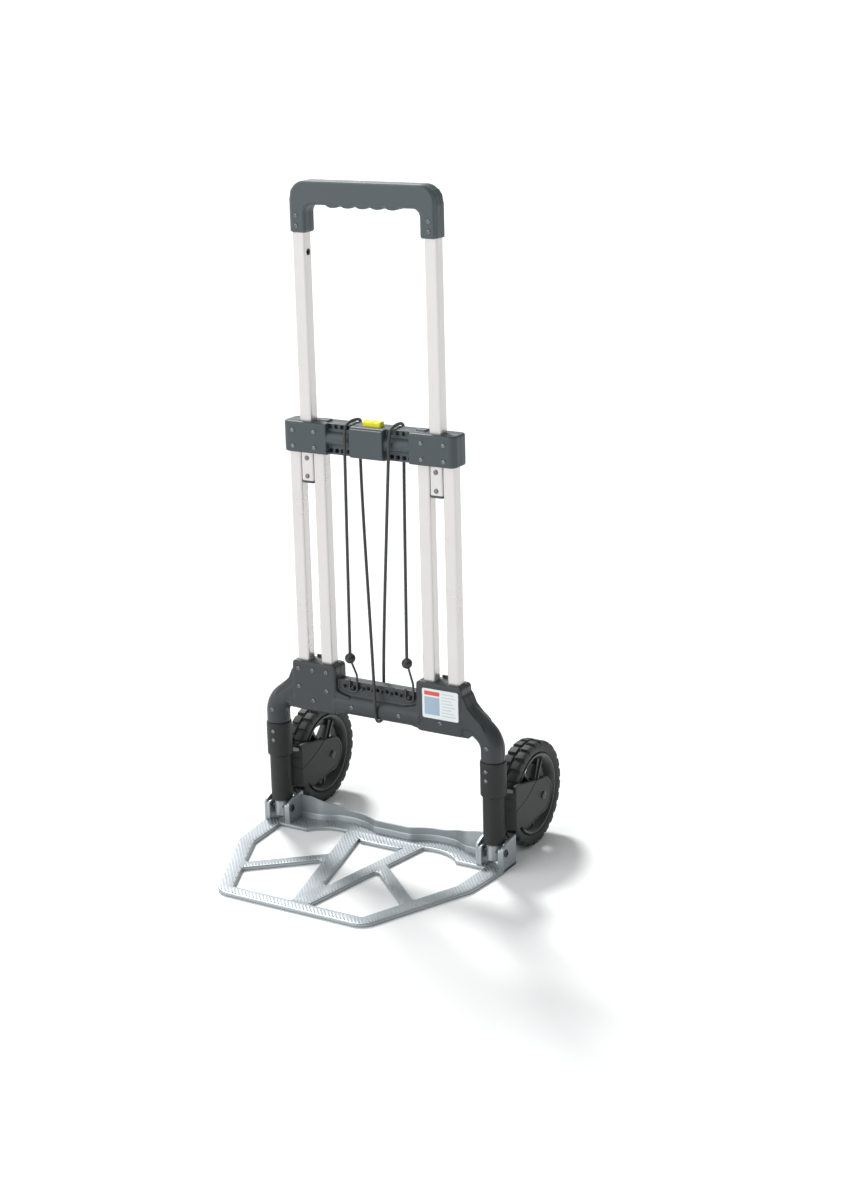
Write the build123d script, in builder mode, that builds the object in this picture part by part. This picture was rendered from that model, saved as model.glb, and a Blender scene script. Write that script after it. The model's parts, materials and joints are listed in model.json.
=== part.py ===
"""Folding luggage cart with a telescopic handle, a hinged toe plate and swing-in wheels.

Millimetres. +Z is up, +X is the width and -Y is the side the load stands on. The origin lies on
the floor at the centre of the footprint. The legs stand in the plane y = leg_y.
"""
import os
from math import atan2, cos, degrees, pi, radians, sin, sqrt

from build123d import *

os.makedirs("parts", exist_ok=True)

# ---- driving dimensions --------------------------------------------------------------------
height_open = 1058.0        # floor to the top of the pulled-out grip
handle_travel = 285.0       # how far the handle slides down into the frame
leg_x = 199.0               # half the distance between the two vertical legs
wheel_radius = 85.0
wheel_width = 36.0
wheel_arm = 111.0           # leg axis to axle; folded wheels then lie side by side
toe_reach = 283.0           # leg axis to the front edge of the toe plate
leg_y = (toe_reach - wheel_arm - wheel_radius) / 2

running = 0.05              # radial clearance of a pin or bolt that turns or slides
slide_gap = 0.4             # clearance of the handle tubes in their guides
seat_gap = 0.1              # clearance of a fixed tube in its socket

# ---- tubes ---------------------------------------------------------------------------------
tube_pitch = 22.0           # handle tube to the fixed tube on each side of it
tube_column_x = 116.0       # centre of each group of three tubes
tube_width = 21.0
handle_tube_width = 22.0
tube_depth = 20.0
tube_wall = 1.6
tube_corner = 3.5
tube_y = leg_y - 2.0
tube_front = tube_y - tube_depth / 2

# ---- middle bar ----------------------------------------------------------------------------
midbar_top = 687.0
midbar_height = 49.0
midbar_half = 154.0
midbar_front = leg_y - 20.7
midbar_rear = leg_y + 21.0
midbar_round = 11.0
midbar_bottom = midbar_top - midbar_height
roof = 4.0                  # closed wall above the fixed tubes
block_inner_x = 74.0        # inner edge of the solid end blocks of both bars
cover_half = 30.0
cover_thickness = 3.8
channel_depth = 9.7
bulge_radius = 11.0
latch_z = midbar_top - 23.0
bolt_radius = 5.0
bolt_inner_x = 9.0
bolt_tongue_end = 31.0
bolt_nose_gap = 0.6         # drawn just clear of the handle tube
button_travel = 6.0
bolt_travel = 5.0
notch_pitch = 11.0

# ---- lower frame ---------------------------------------------------------------------------
frame_top = 294.0
frame_bottom = 212.0
frame_front = leg_y - 19.0
frame_rear = leg_y + 13.0
strip_top = 272.0
strip_front = leg_y - 11.0
strip_rear = leg_y + 6.0
bar_radius = 18.0
bar_y = leg_y - 3.0
bar_z = 231.0
bar_half = 80.0
block_outer_x = 156.0
socket_floor = 248.0        # the fixed tubes stand on this
leg_socket_radius = 19.0
leg_socket_bottom = 178.0
cross_tube_radius = 12.9
cross_tube_half = 150.0
peg_pitch = 17.2

# ---- legs, forks and toe plate hinge -------------------------------------------------------
leg_tube_radius = 13.0
leg_tube_top = 204.0        # ends below the bend of the elbow
leg_tube_bottom = 40.0
collar_radius = 20.7
collar_bottom = 121.0
sleeve_radius = 17.5
sleeve_bottom = 42.0
fork_half = 28.5            # leg axis to the outer face of a fork cheek
cheek_thickness = 6.0
hub_boss_radius = 30.0
wheel_clearance = 3.0
axle_radius = 5.0
axle_head = 3.0
hinge_forward = 9.0         # hinge pin in front of the leg axis
hinge_z = 31.0
hinge_radius = 4.0
ear_inner = 20.0            # leg axis to the inner face of each ear
ear_thickness = 4.5
plate_z = 7.5
wall_thickness = 3.5
wall_top = 25.0
wall_room = 13.0            # folded tyre to the toe plate's rear wall
ledge_width = 31.0          # flat strip in front of the rear wall
rib_width = 24.0

# ---- handle grip ---------------------------------------------------------------------------
grip_half = 127.0
grip_leg_width = 27.0
grip_bar = 36.0
grip_leg_bottom = 979.0
grip_depth = 29.0
finger_pitch = 26.0
tube_end_z = 592.0          # lower ends of the pulled-out handle tubes
grip_socket_depth = 58.0

# ---- elastic cord --------------------------------------------------------------------------
cord_radius = 2.5
knot_radius = 8.5
wire_radius = 1.8

SIDES = {"left": -1, "right": 1}


def front_plane(y):
    """Plane facing the load, whose sketch axes are X and Z."""
    return Plane(origin=(0, y, 0), x_dir=(1, 0, 0), z_dir=(0, -1, 0))


def side_plane(x):
    """Plane facing +X, whose sketch axes are Y and Z."""
    return Plane.YZ.offset(x)


def save(part, name):
    """Label a finished piece and write it as its own STEP file."""
    part.label = name
    export_step(part, f"parts/{name}.step")


def rectangular_tube(x, low, high, width):
    """A rounded rectangular tube that stands upright."""
    with BuildPart() as tube:
        with BuildSketch(Plane.XY.offset(low)):
            with Locations((x, tube_y)):
                RectangleRounded(width, tube_depth, tube_corner)
                RectangleRounded(width - 2 * tube_wall, tube_depth - 2 * tube_wall,
                                 tube_corner - tube_wall, mode=Mode.SUBTRACT)
        extrude(amount=high - low)
    return tube.part


def round_tube(x, low, high, outer, inner):
    """A round tube on a leg axis."""
    with BuildPart() as tube:
        with BuildSketch(Plane.XY.offset(low)):
            with Locations((x, leg_y)):
                Circle(outer)
                Circle(inner, mode=Mode.SUBTRACT)
        extrude(amount=high - low)
    return tube.part


def dome_fasteners(points, face_y, head_radius, head_height, shank_radius, shank_length):
    """Separate low-domed fasteners on a face that looks to -Y; points are (x, z)."""
    with BuildPart() as group:
        with BuildSketch(front_plane(face_y)):
            with Locations(*points):
                Circle(shank_radius)
        extrude(amount=-shank_length)
        with BuildSketch(front_plane(face_y)):
            with Locations(*points):
                Circle(head_radius)
        extrude(amount=head_height, taper=28)
    return group.part


def fastener_holes(points, face_y, shank_radius, shank_length):
    """Holes for the shanks of dome_fasteners, cut from the part being built."""
    with BuildSketch(front_plane(face_y)) as holes:
        with Locations(*points):
            Circle(shank_radius)
    extrude(holes.sketch, amount=-shank_length - seat_gap, mode=Mode.SUBTRACT)


# ---- fixed frame tubes ---------------------------------------------------------------------
inner_x = tube_column_x - tube_pitch
outer_x = tube_column_x + tube_pitch
frame_tube_top = midbar_top - roof - seat_gap
bolt_hole_radius = bolt_radius + 0.5

for side, sign in SIDES.items():
    save(rectangular_tube(sign * outer_x, socket_floor, frame_tube_top, tube_width),
         f"frame_tube_outer_{side}")
    with BuildPart() as frame_tube_inner:
        add(rectangular_tube(sign * inner_x, socket_floor, frame_tube_top, tube_width))
        with BuildSketch(side_plane(sign * inner_x)):
            with Locations((tube_y, latch_z)):
                Circle(bolt_hole_radius)
        extrude(amount=tube_width, both=True, mode=Mode.SUBTRACT)
    save(frame_tube_inner.part, f"frame_tube_inner_{side}")

# ---- handle tubes: they slide between the fixed tubes --------------------------------------
handle_tube_top = grip_leg_bottom + grip_socket_depth
guide_rivets = [(sign * tube_column_x, tube_end_z + rise)
                for sign in SIDES.values() for rise in (7.0, 36.0)]
rivet_shank = 2.4
rivet_length = 5.0

for side, sign in SIDES.items():
    with BuildPart() as handle_tube:
        add(rectangular_tube(sign * tube_column_x, tube_end_z, handle_tube_top, handle_tube_width))
        latch_wall_x = sign * (tube_column_x - handle_tube_width / 2)
        with BuildSketch(side_plane(latch_wall_x)):
            with Locations((tube_y, latch_z), (tube_y, latch_z + handle_travel)):
                Circle(bolt_radius + 0.4)
        extrude(amount=2 * tube_wall, both=True, mode=Mode.SUBTRACT)
        fastener_holes(guide_rivets, tube_front, rivet_shank + seat_gap, rivet_length)
    save(handle_tube.part, f"handle_tube_{side}")

# ---- guide shoes: plastic ends that keep the handle tubes between the fixed ones -----------
shoe_flange = 4.0
shoe_plug_height = 44.0
shoe_wing = 20.0
shoe_wing_thickness = 3.0

for side, sign in SIDES.items():
    plug_width = handle_tube_width - 2 * tube_wall - 2 * seat_gap
    plug_depth = tube_depth - 2 * tube_wall - 2 * seat_gap
    tube_rear = tube_y + tube_depth / 2
    with BuildPart() as guide_shoe:
        with BuildSketch(Plane.XY.offset(tube_end_z - shoe_flange)):
            with Locations((sign * tube_column_x, tube_y)):
                RectangleRounded(handle_tube_width, tube_depth, tube_corner)
        extrude(amount=shoe_flange)
        with BuildSketch(Plane.XY.offset(tube_end_z)):
            with Locations((sign * tube_column_x, tube_y)):
                RectangleRounded(plug_width, plug_depth, tube_corner - tube_wall)
        extrude(amount=shoe_plug_height)
        with BuildSketch(Plane.XY.offset(tube_end_z - shoe_flange)):
            with Locations((sign * tube_column_x, tube_rear + slide_gap / 2)):
                Rectangle(handle_tube_width - 2 * tube_corner, slide_gap)
            with Locations((sign * tube_column_x, tube_rear + slide_gap + shoe_wing_thickness / 2)):
                Rectangle(2 * shoe_wing, shoe_wing_thickness)
        extrude(amount=shoe_flange + shoe_plug_height - 4.0)
        fastener_holes(guide_rivets, tube_front, rivet_shank + seat_gap, rivet_length)
    save(guide_shoe.part, f"guide_shoe_{side}")

save(dome_fasteners(guide_rivets, tube_front, 4.0, 1.6, rivet_shank, rivet_length),
     "guide_rivets")

# ---- grip: two half shells that clamp the handle tubes -------------------------------------
grip_leg_x = grip_half - grip_leg_width / 2
grip_inner = grip_half - grip_leg_width
grip_under = height_open - grip_bar
grip_screws = [(sign * tube_column_x, grip_leg_bottom + rise)
               for sign in SIDES.values() for rise in (11.0, 26.0)]
screw_shank = 1.8
screw_length = 2.5
grip_edge = 3.2


def grip_half_shell(front):
    """Front or rear half of the U-shaped grip."""
    depth = grip_depth / 2
    face_y = tube_y - depth if front else tube_y + depth
    inward = -depth if front else depth
    with BuildPart() as shell:
        with BuildSketch(front_plane(face_y)):
            with BuildLine():
                FilletPolyline((-grip_half, grip_leg_bottom), (-grip_half, height_open),
                               (grip_half, height_open), (grip_half, grip_leg_bottom),
                               (grip_inner, grip_leg_bottom), (grip_inner, grip_under),
                               (-grip_inner, grip_under), (-grip_inner, grip_leg_bottom),
                               radius=[4, 26, 26, 4, 4, 12, 12, 4], close=True)
            make_face()
        extrude(amount=inward)
        chamfer(shell.faces().sort_by(Axis.Y)[0 if front else -1].edges(), grip_edge)
        with BuildSketch(front_plane(tube_y)):
            with Locations(*[(step * finger_pitch, grip_under) for step in range(-2, 3)]):
                Ellipse(finger_pitch * 0.42, 4.0)
        extrude(amount=(depth - grip_edge) * (1 if front else -1))
        with BuildSketch(Plane.XY.offset(grip_leg_bottom - 1)):
            with Locations(*[(sign * tube_column_x, tube_y) for sign in SIDES.values()]):
                RectangleRounded(handle_tube_width + 2 * seat_gap, tube_depth + 2 * seat_gap,
                                 tube_corner)
        extrude(amount=grip_socket_depth + 1 + seat_gap, mode=Mode.SUBTRACT)
        if front:
            fastener_holes(grip_screws, face_y, screw_shank + seat_gap, screw_length)
    return shell.part


save(grip_half_shell(True), "grip_front")
save(grip_half_shell(False), "grip_rear")
save(dome_fasteners(grip_screws, tube_y - grip_depth / 2, 3.6, 1.5, screw_shank, screw_length),
     "grip_screws")

# ---- middle bar: two housings around the tops of the fixed tubes ---------------------------
wall_floor = 5.0
cavity_half = 26.0
cavity_low = midbar_bottom + wall_floor
cavity_high = midbar_top - wall_floor
button_half = 16.3
button_depth = 14.0
button_proud = 8.5
notch_x = [sign * (38.5 + step * notch_pitch) for sign in SIDES.values() for step in range(4)]
midbar_rivets = [(sign * x, z) for sign in SIDES.values() for x in (96.0, 135.0)
                 for z in (latch_z - 16.0, latch_z + 9.0)]


def midbar_body():
    """The whole middle bar before it is split into its two housings."""
    with BuildPart() as bar:
        centre_y = (midbar_front + midbar_rear) / 2
        with BuildSketch(Plane.XY.offset(midbar_bottom)):
            with Locations((0, centre_y)):
                RectangleRounded(2 * midbar_half, midbar_rear - midbar_front, midbar_round)
        extrude(amount=midbar_height)
        rims = bar.faces().sort_by(Axis.Z)
        fillet(rims[0].edges() + rims[-1].edges(), 3.0)
        # raised lugs beside the handle tubes
        with BuildSketch(Plane.XY.offset(midbar_top)):
            with Locations((-87, leg_y + 2), (87, leg_y + 2)):
                RectangleRounded(18, 15, 3)
        extrude(amount=3.0)
        # recessed channels on the front, with a round rib along each
        for sign in SIDES.values():
            channel_x = sign * (block_inner_x + cover_half) / 2
            channel_length = block_inner_x - cover_half
            with BuildSketch(front_plane(midbar_front)):
                with Locations((channel_x, (midbar_top + midbar_bottom) / 2)):
                    Rectangle(channel_length, midbar_height + 10)
            extrude(amount=-channel_depth, mode=Mode.SUBTRACT)
            with BuildSketch(side_plane(channel_x)):
                with Locations((midbar_front + channel_depth + 2, latch_z)):
                    Circle(bulge_radius)
            extrude(amount=channel_length / 2, both=True)
        # hook holes along the bottom edge and notches along the top one
        with BuildSketch(front_plane(midbar_front)):
            with Locations(*[(x, midbar_bottom + 6.5) for x in notch_x]):
                RectangleRounded(6.4, 6.4, 2)
        extrude(amount=-(midbar_rear - midbar_front), mode=Mode.SUBTRACT)
        with BuildSketch(front_plane(midbar_front + channel_depth)):
            with Locations(*[(x, midbar_top - 5) for x in notch_x]):
                RectangleRounded(5.6, 6.0, 1.5)
        extrude(amount=-6.0, mode=Mode.SUBTRACT)
        # sockets of the fixed tubes and ways through for the handle tubes
        with BuildSketch(Plane.XY.offset(midbar_bottom - 1)):
            with Locations(*[(sign * x, tube_y) for sign in SIDES.values()
                             for x in (inner_x, outer_x)]):
                RectangleRounded(tube_width + 2 * seat_gap, tube_depth + 2 * seat_gap, tube_corner)
        extrude(amount=midbar_height - roof + 1, mode=Mode.SUBTRACT)
        with BuildSketch(Plane.XY.offset(midbar_bottom - 1)):
            with Locations(*[(sign * tube_column_x, tube_y) for sign in SIDES.values()]):
                RectangleRounded(handle_tube_width + 2 * slide_gap, tube_depth + 2 * slide_gap,
                                 tube_corner)
        extrude(amount=midbar_height + 10, mode=Mode.SUBTRACT)
        # bore of the latch bolts
        with BuildSketch(side_plane(0)):
            with Locations((tube_y, latch_z)):
                Circle(bolt_radius + running)
        extrude(amount=tube_column_x, both=True, mode=Mode.SUBTRACT)
        # cavity of the release button, open to the front under its cover
        with BuildSketch(Plane.XY.offset(cavity_low)):
            with Locations((0, (midbar_front + leg_y + 10) / 2)):
                Rectangle(2 * cavity_half, leg_y + 10 - midbar_front)
        extrude(amount=cavity_high - cavity_low, mode=Mode.SUBTRACT)
        with BuildSketch(Plane.XY.offset(cavity_high - 1)):
            with Locations((0, leg_y + 1)):
                RectangleRounded(2 * button_half + 2 * slide_gap, button_depth + 2 * slide_gap, 3)
        extrude(amount=wall_floor + 2, mode=Mode.SUBTRACT)
        fastener_holes(midbar_rivets, midbar_front, rivet_shank + seat_gap, rivet_length)
    return bar.part


split_plane = front_plane(tube_y)

with BuildPart() as midbar_front_shell:
    add(midbar_body())
    split(bisect_by=split_plane, keep=Keep.TOP)
save(midbar_front_shell.part, "midbar_front_shell")

with BuildPart() as midbar_rear_shell:
    add(midbar_body())
    split(bisect_by=split_plane, keep=Keep.BOTTOM)
save(midbar_rear_shell.part, "midbar_rear_shell")

save(dome_fasteners(midbar_rivets, midbar_front, 3.9, 1.7, rivet_shank, rivet_length),
     "midbar_rivets")

with BuildPart() as latch_cover:
    with BuildSketch(front_plane(midbar_front)):
        with Locations((0, (midbar_top + midbar_bottom) / 2 - 0.5)):
            RectangleRounded(2 * cover_half, midbar_height - 4, 3)
    extrude(amount=cover_thickness)
    chamfer(latch_cover.faces().sort_by(Axis.Y)[0].edges(), 1.2)
save(latch_cover.part, "latch_cover")

# ---- latch: the button's slanted slots draw both bolts inward ------------------------------
pin_radius = 2.0
pin_x = 16.0
plate_thickness = 4.0
plate_low = latch_z - 9.0
plate_centre_y = tube_y - 2.0
tongue_front = tube_y + 0.4

with BuildPart() as release_button:
    with BuildSketch(Plane.XY.offset(cavity_high - button_travel + 1)):
        with Locations((0, leg_y + 1)):
            RectangleRounded(2 * button_half, button_depth, 3)
    extrude(amount=midbar_top + button_proud - (cavity_high - button_travel + 1))
    fillet(release_button.faces().sort_by(Axis.Z)[-1].edges(), 2.5)
    with BuildSketch(front_plane(plate_centre_y)):
        with Locations((0, (plate_low + cavity_high) / 2)):
            Rectangle(2 * (cavity_half - 2), cavity_high - button_travel + 2 - plate_low)
    extrude(amount=plate_thickness / 2, both=True)
    slot_length = sqrt(bolt_travel ** 2 + button_travel ** 2)
    slot_angle = degrees(atan2(button_travel, bolt_travel))
    for sign in SIDES.values():
        with BuildSketch(front_plane(plate_centre_y)):
            with Locations((sign * (pin_x - bolt_travel / 2), latch_z + button_travel / 2)):
                SlotCenterToCenter(slot_length, 2 * (pin_radius + running),
                                   rotation=-sign * slot_angle)
        extrude(amount=plate_thickness, both=True, mode=Mode.SUBTRACT)
save(release_button.part, "release_button")

bolt_nose_x = tube_column_x - handle_tube_width / 2 - bolt_nose_gap
for side, sign in SIDES.items():
    with BuildPart() as latch_bolt:
        with BuildSketch(side_plane(sign * bolt_inner_x)):
            with Locations((tube_y, latch_z)):
                Circle(bolt_radius)
        extrude(amount=sign * (bolt_nose_x - bolt_inner_x))
        chamfer(latch_bolt.faces().sort_by(Axis.X)[-1 if sign > 0 else 0].edges(), 1.0)
        # the inner end is cut to a tongue behind the button's plate
        with BuildSketch(front_plane(tongue_front)):
            with Locations((sign * (bolt_inner_x + bolt_tongue_end) / 2, latch_z)):
                Rectangle(bolt_tongue_end - bolt_inner_x + 0.2, 4 * bolt_radius)
        extrude(amount=2 * bolt_radius, mode=Mode.SUBTRACT)
        with BuildSketch(front_plane(tongue_front + 1)):
            with Locations((sign * pin_x, latch_z)):
                Circle(pin_radius)
        extrude(amount=plate_thickness + 2.5)
    save(latch_bolt.part, f"latch_bolt_{side}")

spring_wire = 0.9
spring_radius = 4.0
spring_height = plate_low - cavity_low - spring_wire
with BuildPart() as button_spring:
    with BuildLine() as spring_path:
        Helix(pitch=spring_height / 3, height=spring_height, radius=spring_radius,
              center=(0, plate_centre_y, cavity_low + spring_wire / 2 + 0.05))
    with BuildSketch(Plane(origin=spring_path.line @ 0, z_dir=spring_path.line % 0)):
        Circle(spring_wire / 2)
    sweep()
save(button_spring.part, "button_spring")

# ---- lower frame: two housings, with the bar, the perforated strip and the elbows ----------
peg_x = [(step + 0.5) * peg_pitch for step in range(-4, 4)]
hole_x = [step * peg_pitch for step in range(-3, 4)]
strip_hole_z = 263.0
block_screws = [(-143.5, 281.0), (-117.0, 281.0), (-91.0, 281.0), (-143.5, 251.0),
                (-91.0, 250.0), (-117.0, 230.0), (117.0, 230.0)]
bar_screws = [(-43.5, bar_z), (43.5, bar_z)]
elbow_screws = [(sign * (leg_x - 1), 202.0) for sign in SIDES.values()]
frame_screw_length = 3.0
leg_bore = leg_tube_radius + seat_gap


def lower_frame_body():
    """The whole lower frame before it is split into its two housings."""
    with BuildPart() as body:
        block_centre = (block_inner_x + block_outer_x) / 2
        with BuildSketch(front_plane(frame_front)):
            with Locations(*[(sign * block_centre, (frame_top + frame_bottom) / 2)
                             for sign in SIDES.values()]):
                RectangleRounded(block_outer_x - block_inner_x, frame_top - frame_bottom, 6)
        extrude(amount=frame_front - frame_rear)
        chamfer(body.faces().sort_by(Axis.Y)[0].edges() + body.faces().sort_by(Axis.Y)[1].edges(),
                2.5)
        with BuildSketch(front_plane(strip_front)):
            with Locations((0, (strip_top + bar_z) / 2)):
                Rectangle(2 * bar_half, strip_top - bar_z)
        extrude(amount=strip_front - strip_rear)
        with BuildSketch(side_plane(0)):
            with Locations((bar_y, bar_z)):
                Circle(bar_radius)
        extrude(amount=bar_half, both=True)
        # elbows from the blocks down to the leg sockets
        for sign in SIDES.values():
            with BuildLine(front_plane(leg_y)) as elbow_path:
                FilletPolyline((sign * leg_x, leg_socket_bottom), (sign * leg_x, 211.7),
                               (sign * 143.3, 255.9), radius=36.0)
            with BuildSketch(Plane(origin=(sign * leg_x, leg_y, leg_socket_bottom))):
                Circle(leg_socket_radius)
            sweep(path=elbow_path.line)
            with BuildSketch(front_plane(frame_front + 3)):
                Polygon((sign * 140, frame_bottom), (sign * 165, frame_bottom),
                        (sign * 185, 235), (sign * 155, 262), (sign * 140, 262), align=None)
            extrude(amount=frame_front + 3 - frame_rear)
        with BuildSketch(front_plane(strip_front)):
            with Locations(*[(x, strip_hole_z - 0.5) for x in peg_x]):
                Circle(2.6)
        extrude(amount=7.5)
        with BuildSketch(front_plane(strip_front)):
            with Locations(*[(x, strip_hole_z) for x in hole_x]):
                Circle(3.0)
        extrude(amount=strip_front - strip_rear, mode=Mode.SUBTRACT)
        # low wall behind each gap, which the handle tube comes down in front of
        with BuildSketch(Plane.XY.offset(frame_top - 2)):
            with Locations(*[(sign * tube_column_x, frame_rear - 1.8) for sign in SIDES.values()]):
                Rectangle(tube_width, 3.2)
        extrude(amount=7.0)
        # sockets of the fixed tubes, the legs and the cross tube
        with BuildSketch(Plane.XY.offset(socket_floor)):
            with Locations(*[(sign * x, tube_y) for sign in SIDES.values()
                             for x in (inner_x, outer_x)]):
                RectangleRounded(tube_width + 2 * seat_gap, tube_depth + 2 * seat_gap, tube_corner)
        extrude(amount=frame_top, mode=Mode.SUBTRACT)
        with BuildSketch(Plane.XY.offset(leg_socket_bottom - 1)):
            with Locations(*[(sign * leg_x, leg_y) for sign in SIDES.values()]):
                Circle(leg_bore)
        extrude(amount=leg_tube_top - leg_socket_bottom + 1, mode=Mode.SUBTRACT)
        with BuildSketch(side_plane(0)):
            with Locations((bar_y, bar_z)):
                Circle(cross_tube_radius + seat_gap)
        extrude(amount=cross_tube_half, both=True, mode=Mode.SUBTRACT)
        fastener_holes(block_screws, frame_front, screw_shank + seat_gap, frame_screw_length)
        fastener_holes(bar_screws, bar_y - bar_radius, screw_shank + seat_gap, frame_screw_length)
        fastener_holes(elbow_screws, leg_y - leg_socket_radius, screw_shank + seat_gap,
                       frame_screw_length)
    return body.part


with BuildPart() as lower_frame_front:
    add(lower_frame_body())
    split(bisect_by=split_plane, keep=Keep.TOP)
save(lower_frame_front.part, "lower_frame_front")

with BuildPart() as lower_frame_rear:
    add(lower_frame_body())
    split(bisect_by=split_plane, keep=Keep.BOTTOM)
save(lower_frame_rear.part, "lower_frame_rear")

with BuildPart() as frame_screws:
    for points, face_y in ((block_screws, frame_front), (bar_screws, bar_y - bar_radius),
                           (elbow_screws, leg_y - leg_socket_radius)):
        add(dome_fasteners(points, face_y, 3.6, 1.5, screw_shank, frame_screw_length))
save(frame_screws.part, "frame_screws")

with BuildPart() as cross_tube:
    with BuildSketch(side_plane(0)):
        with Locations((bar_y, bar_z)):
            Circle(cross_tube_radius)
            Circle(cross_tube_radius - tube_wall, mode=Mode.SUBTRACT)
    extrude(amount=cross_tube_half - seat_gap, both=True)
save(cross_tube.part, "cross_tube")

label_width = 64.0
label_height = 48.0
with BuildPart() as safety_label:
    with BuildSketch(front_plane(frame_front)):
        with Locations((118.0, 260.5)):
            RectangleRounded(label_width, label_height, 2)
    extrude(amount=0.4)
save(safety_label.part, "safety_label")

# ---- legs ----------------------------------------------------------------------------------
collar_rivets = [(sign * (leg_x - 2), z) for sign in SIDES.values() for z in (150.0, 165.0)]
foot_low = 14.0
foot_plug_height = 22.0

for side, sign in SIDES.items():
    save(round_tube(sign * leg_x, leg_tube_bottom, leg_tube_top - seat_gap, leg_tube_radius,
                    leg_tube_radius - tube_wall), f"leg_tube_{side}")
    with BuildPart() as leg_collar:
        add(round_tube(sign * leg_x, collar_bottom, leg_socket_bottom - 0.3, collar_radius,
                       leg_bore))
        rims = leg_collar.faces().sort_by(Axis.Z)
        chamfer(rims[0].edges().sort_by(SortBy.RADIUS)[-1], 1.2)
        chamfer(rims[-1].edges().sort_by(SortBy.RADIUS)[-1], 1.2)
        fastener_holes(collar_rivets, leg_y - collar_radius, rivet_shank + seat_gap, 4.0)
    save(leg_collar.part, f"leg_collar_{side}")
    # cast foot: a plug in the leg tube and a round shoe for the hinge pin between the ears
    with BuildPart() as leg_foot:
        with BuildSketch(Plane.XY.offset(foot_low)):
            with Locations((sign * leg_x, leg_y)):
                Circle(leg_tube_radius)
        extrude(amount=leg_tube_bottom - foot_low)
        with BuildSketch(Plane.XY.offset(leg_tube_bottom)):
            with Locations((sign * leg_x, leg_y)):
                Circle(leg_tube_radius - tube_wall - seat_gap)
        extrude(amount=foot_plug_height)
        with BuildSketch(side_plane(sign * leg_x)):
            with Locations((leg_y - hinge_forward, hinge_z)):
                Circle(hinge_radius + running)
        extrude(amount=leg_tube_radius, both=True, mode=Mode.SUBTRACT)
    save(leg_foot.part, f"leg_foot_{side}")

save(dome_fasteners(collar_rivets, leg_y - collar_radius, 3.4, 1.6, rivet_shank, 4.0),
     "collar_rivets")

# ---- wheel forks: they turn on the leg tubes -----------------------------------------------
axle_y = leg_y + wheel_arm
axle_z = wheel_radius
sleeve_top = collar_bottom - 0.4
arm_low = 58.0              # passes over the ears of the folding toe plate
cheek_inner = fork_half - cheek_thickness
web_half = 15.0
web_front = 20.0            # leg axis to the front edges of the cheeks
web_rear = 36.0

for side, sign in SIDES.items():
    fork_x = sign * leg_x
    with BuildPart() as wheel_fork:
        with BuildSketch(Plane.XY.offset(sleeve_bottom)):
            with Locations((fork_x, leg_y)):
                Circle(sleeve_radius)
        extrude(amount=sleeve_top - sleeve_bottom)
        with BuildSketch(Plane.XY.offset(arm_low)):
            with Locations((fork_x, leg_y)):
                Polygon((-web_half, 0), (web_half, 0), (web_half, web_front - 5),
                        (fork_half, web_front), (fork_half, web_rear), (-fork_half, web_rear),
                        (-fork_half, web_front), (-web_half, web_front - 5), align=None)
        extrude(amount=sleeve_top - arm_low)
        for start in (-fork_half, cheek_inner):
            with BuildSketch(side_plane(fork_x + start)):
                with Locations((leg_y, 0)):
                    Polygon((web_front, arm_low), (38, arm_low), (50, 48), (105, 55.5), (128, 108),
                            (94, 117), (30, 131), (web_front, 131), align=None)
                with Locations((axle_y, axle_z)):
                    Circle(hub_boss_radius)
            extrude(amount=cheek_thickness)
        with BuildSketch(side_plane(fork_x)):
            with Locations((axle_y, axle_z)):
                Circle(wheel_radius + wheel_clearance)
        extrude(amount=cheek_inner, both=True, mode=Mode.SUBTRACT)
        with BuildSketch(Plane.XY.offset(sleeve_bottom - 1)):
            with Locations((fork_x, leg_y)):
                Circle(leg_tube_radius + running)
        extrude(amount=sleeve_top, mode=Mode.SUBTRACT)
        with BuildSketch(side_plane(fork_x)):
            with Locations((axle_y, axle_z)):
                Circle(axle_radius + seat_gap)
        extrude(amount=2 * fork_half, both=True, mode=Mode.SUBTRACT)
    save(wheel_fork.part, f"wheel_fork_{side}")

    with BuildPart() as wheel_axle:
        with BuildSketch(side_plane(fork_x)):
            with Locations((axle_y, axle_z)):
                Circle(axle_radius)
        extrude(amount=fork_half, both=True)
        for face_x, amount in ((fork_x + fork_half, axle_head), (fork_x - fork_half, -axle_head)):
            with BuildSketch(side_plane(face_x)):
                with Locations((axle_y, axle_z)):
                    Circle(8.5)
            extrude(amount=amount)
        for end in (0, -1):
            chamfer(wheel_axle.faces().sort_by(Axis.X)[end].edges(), 0.8)
    save(wheel_axle.part, f"wheel_axle_{side}")

# ---- wheels --------------------------------------------------------------------------------
rim_radius = 66.0
rim_inner = 57.0
hub_radius = 15.0
hub_half = cheek_inner - 1.2
spoke_count = 5
tread_blocks = 26
tread_depth = 6.0

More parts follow.
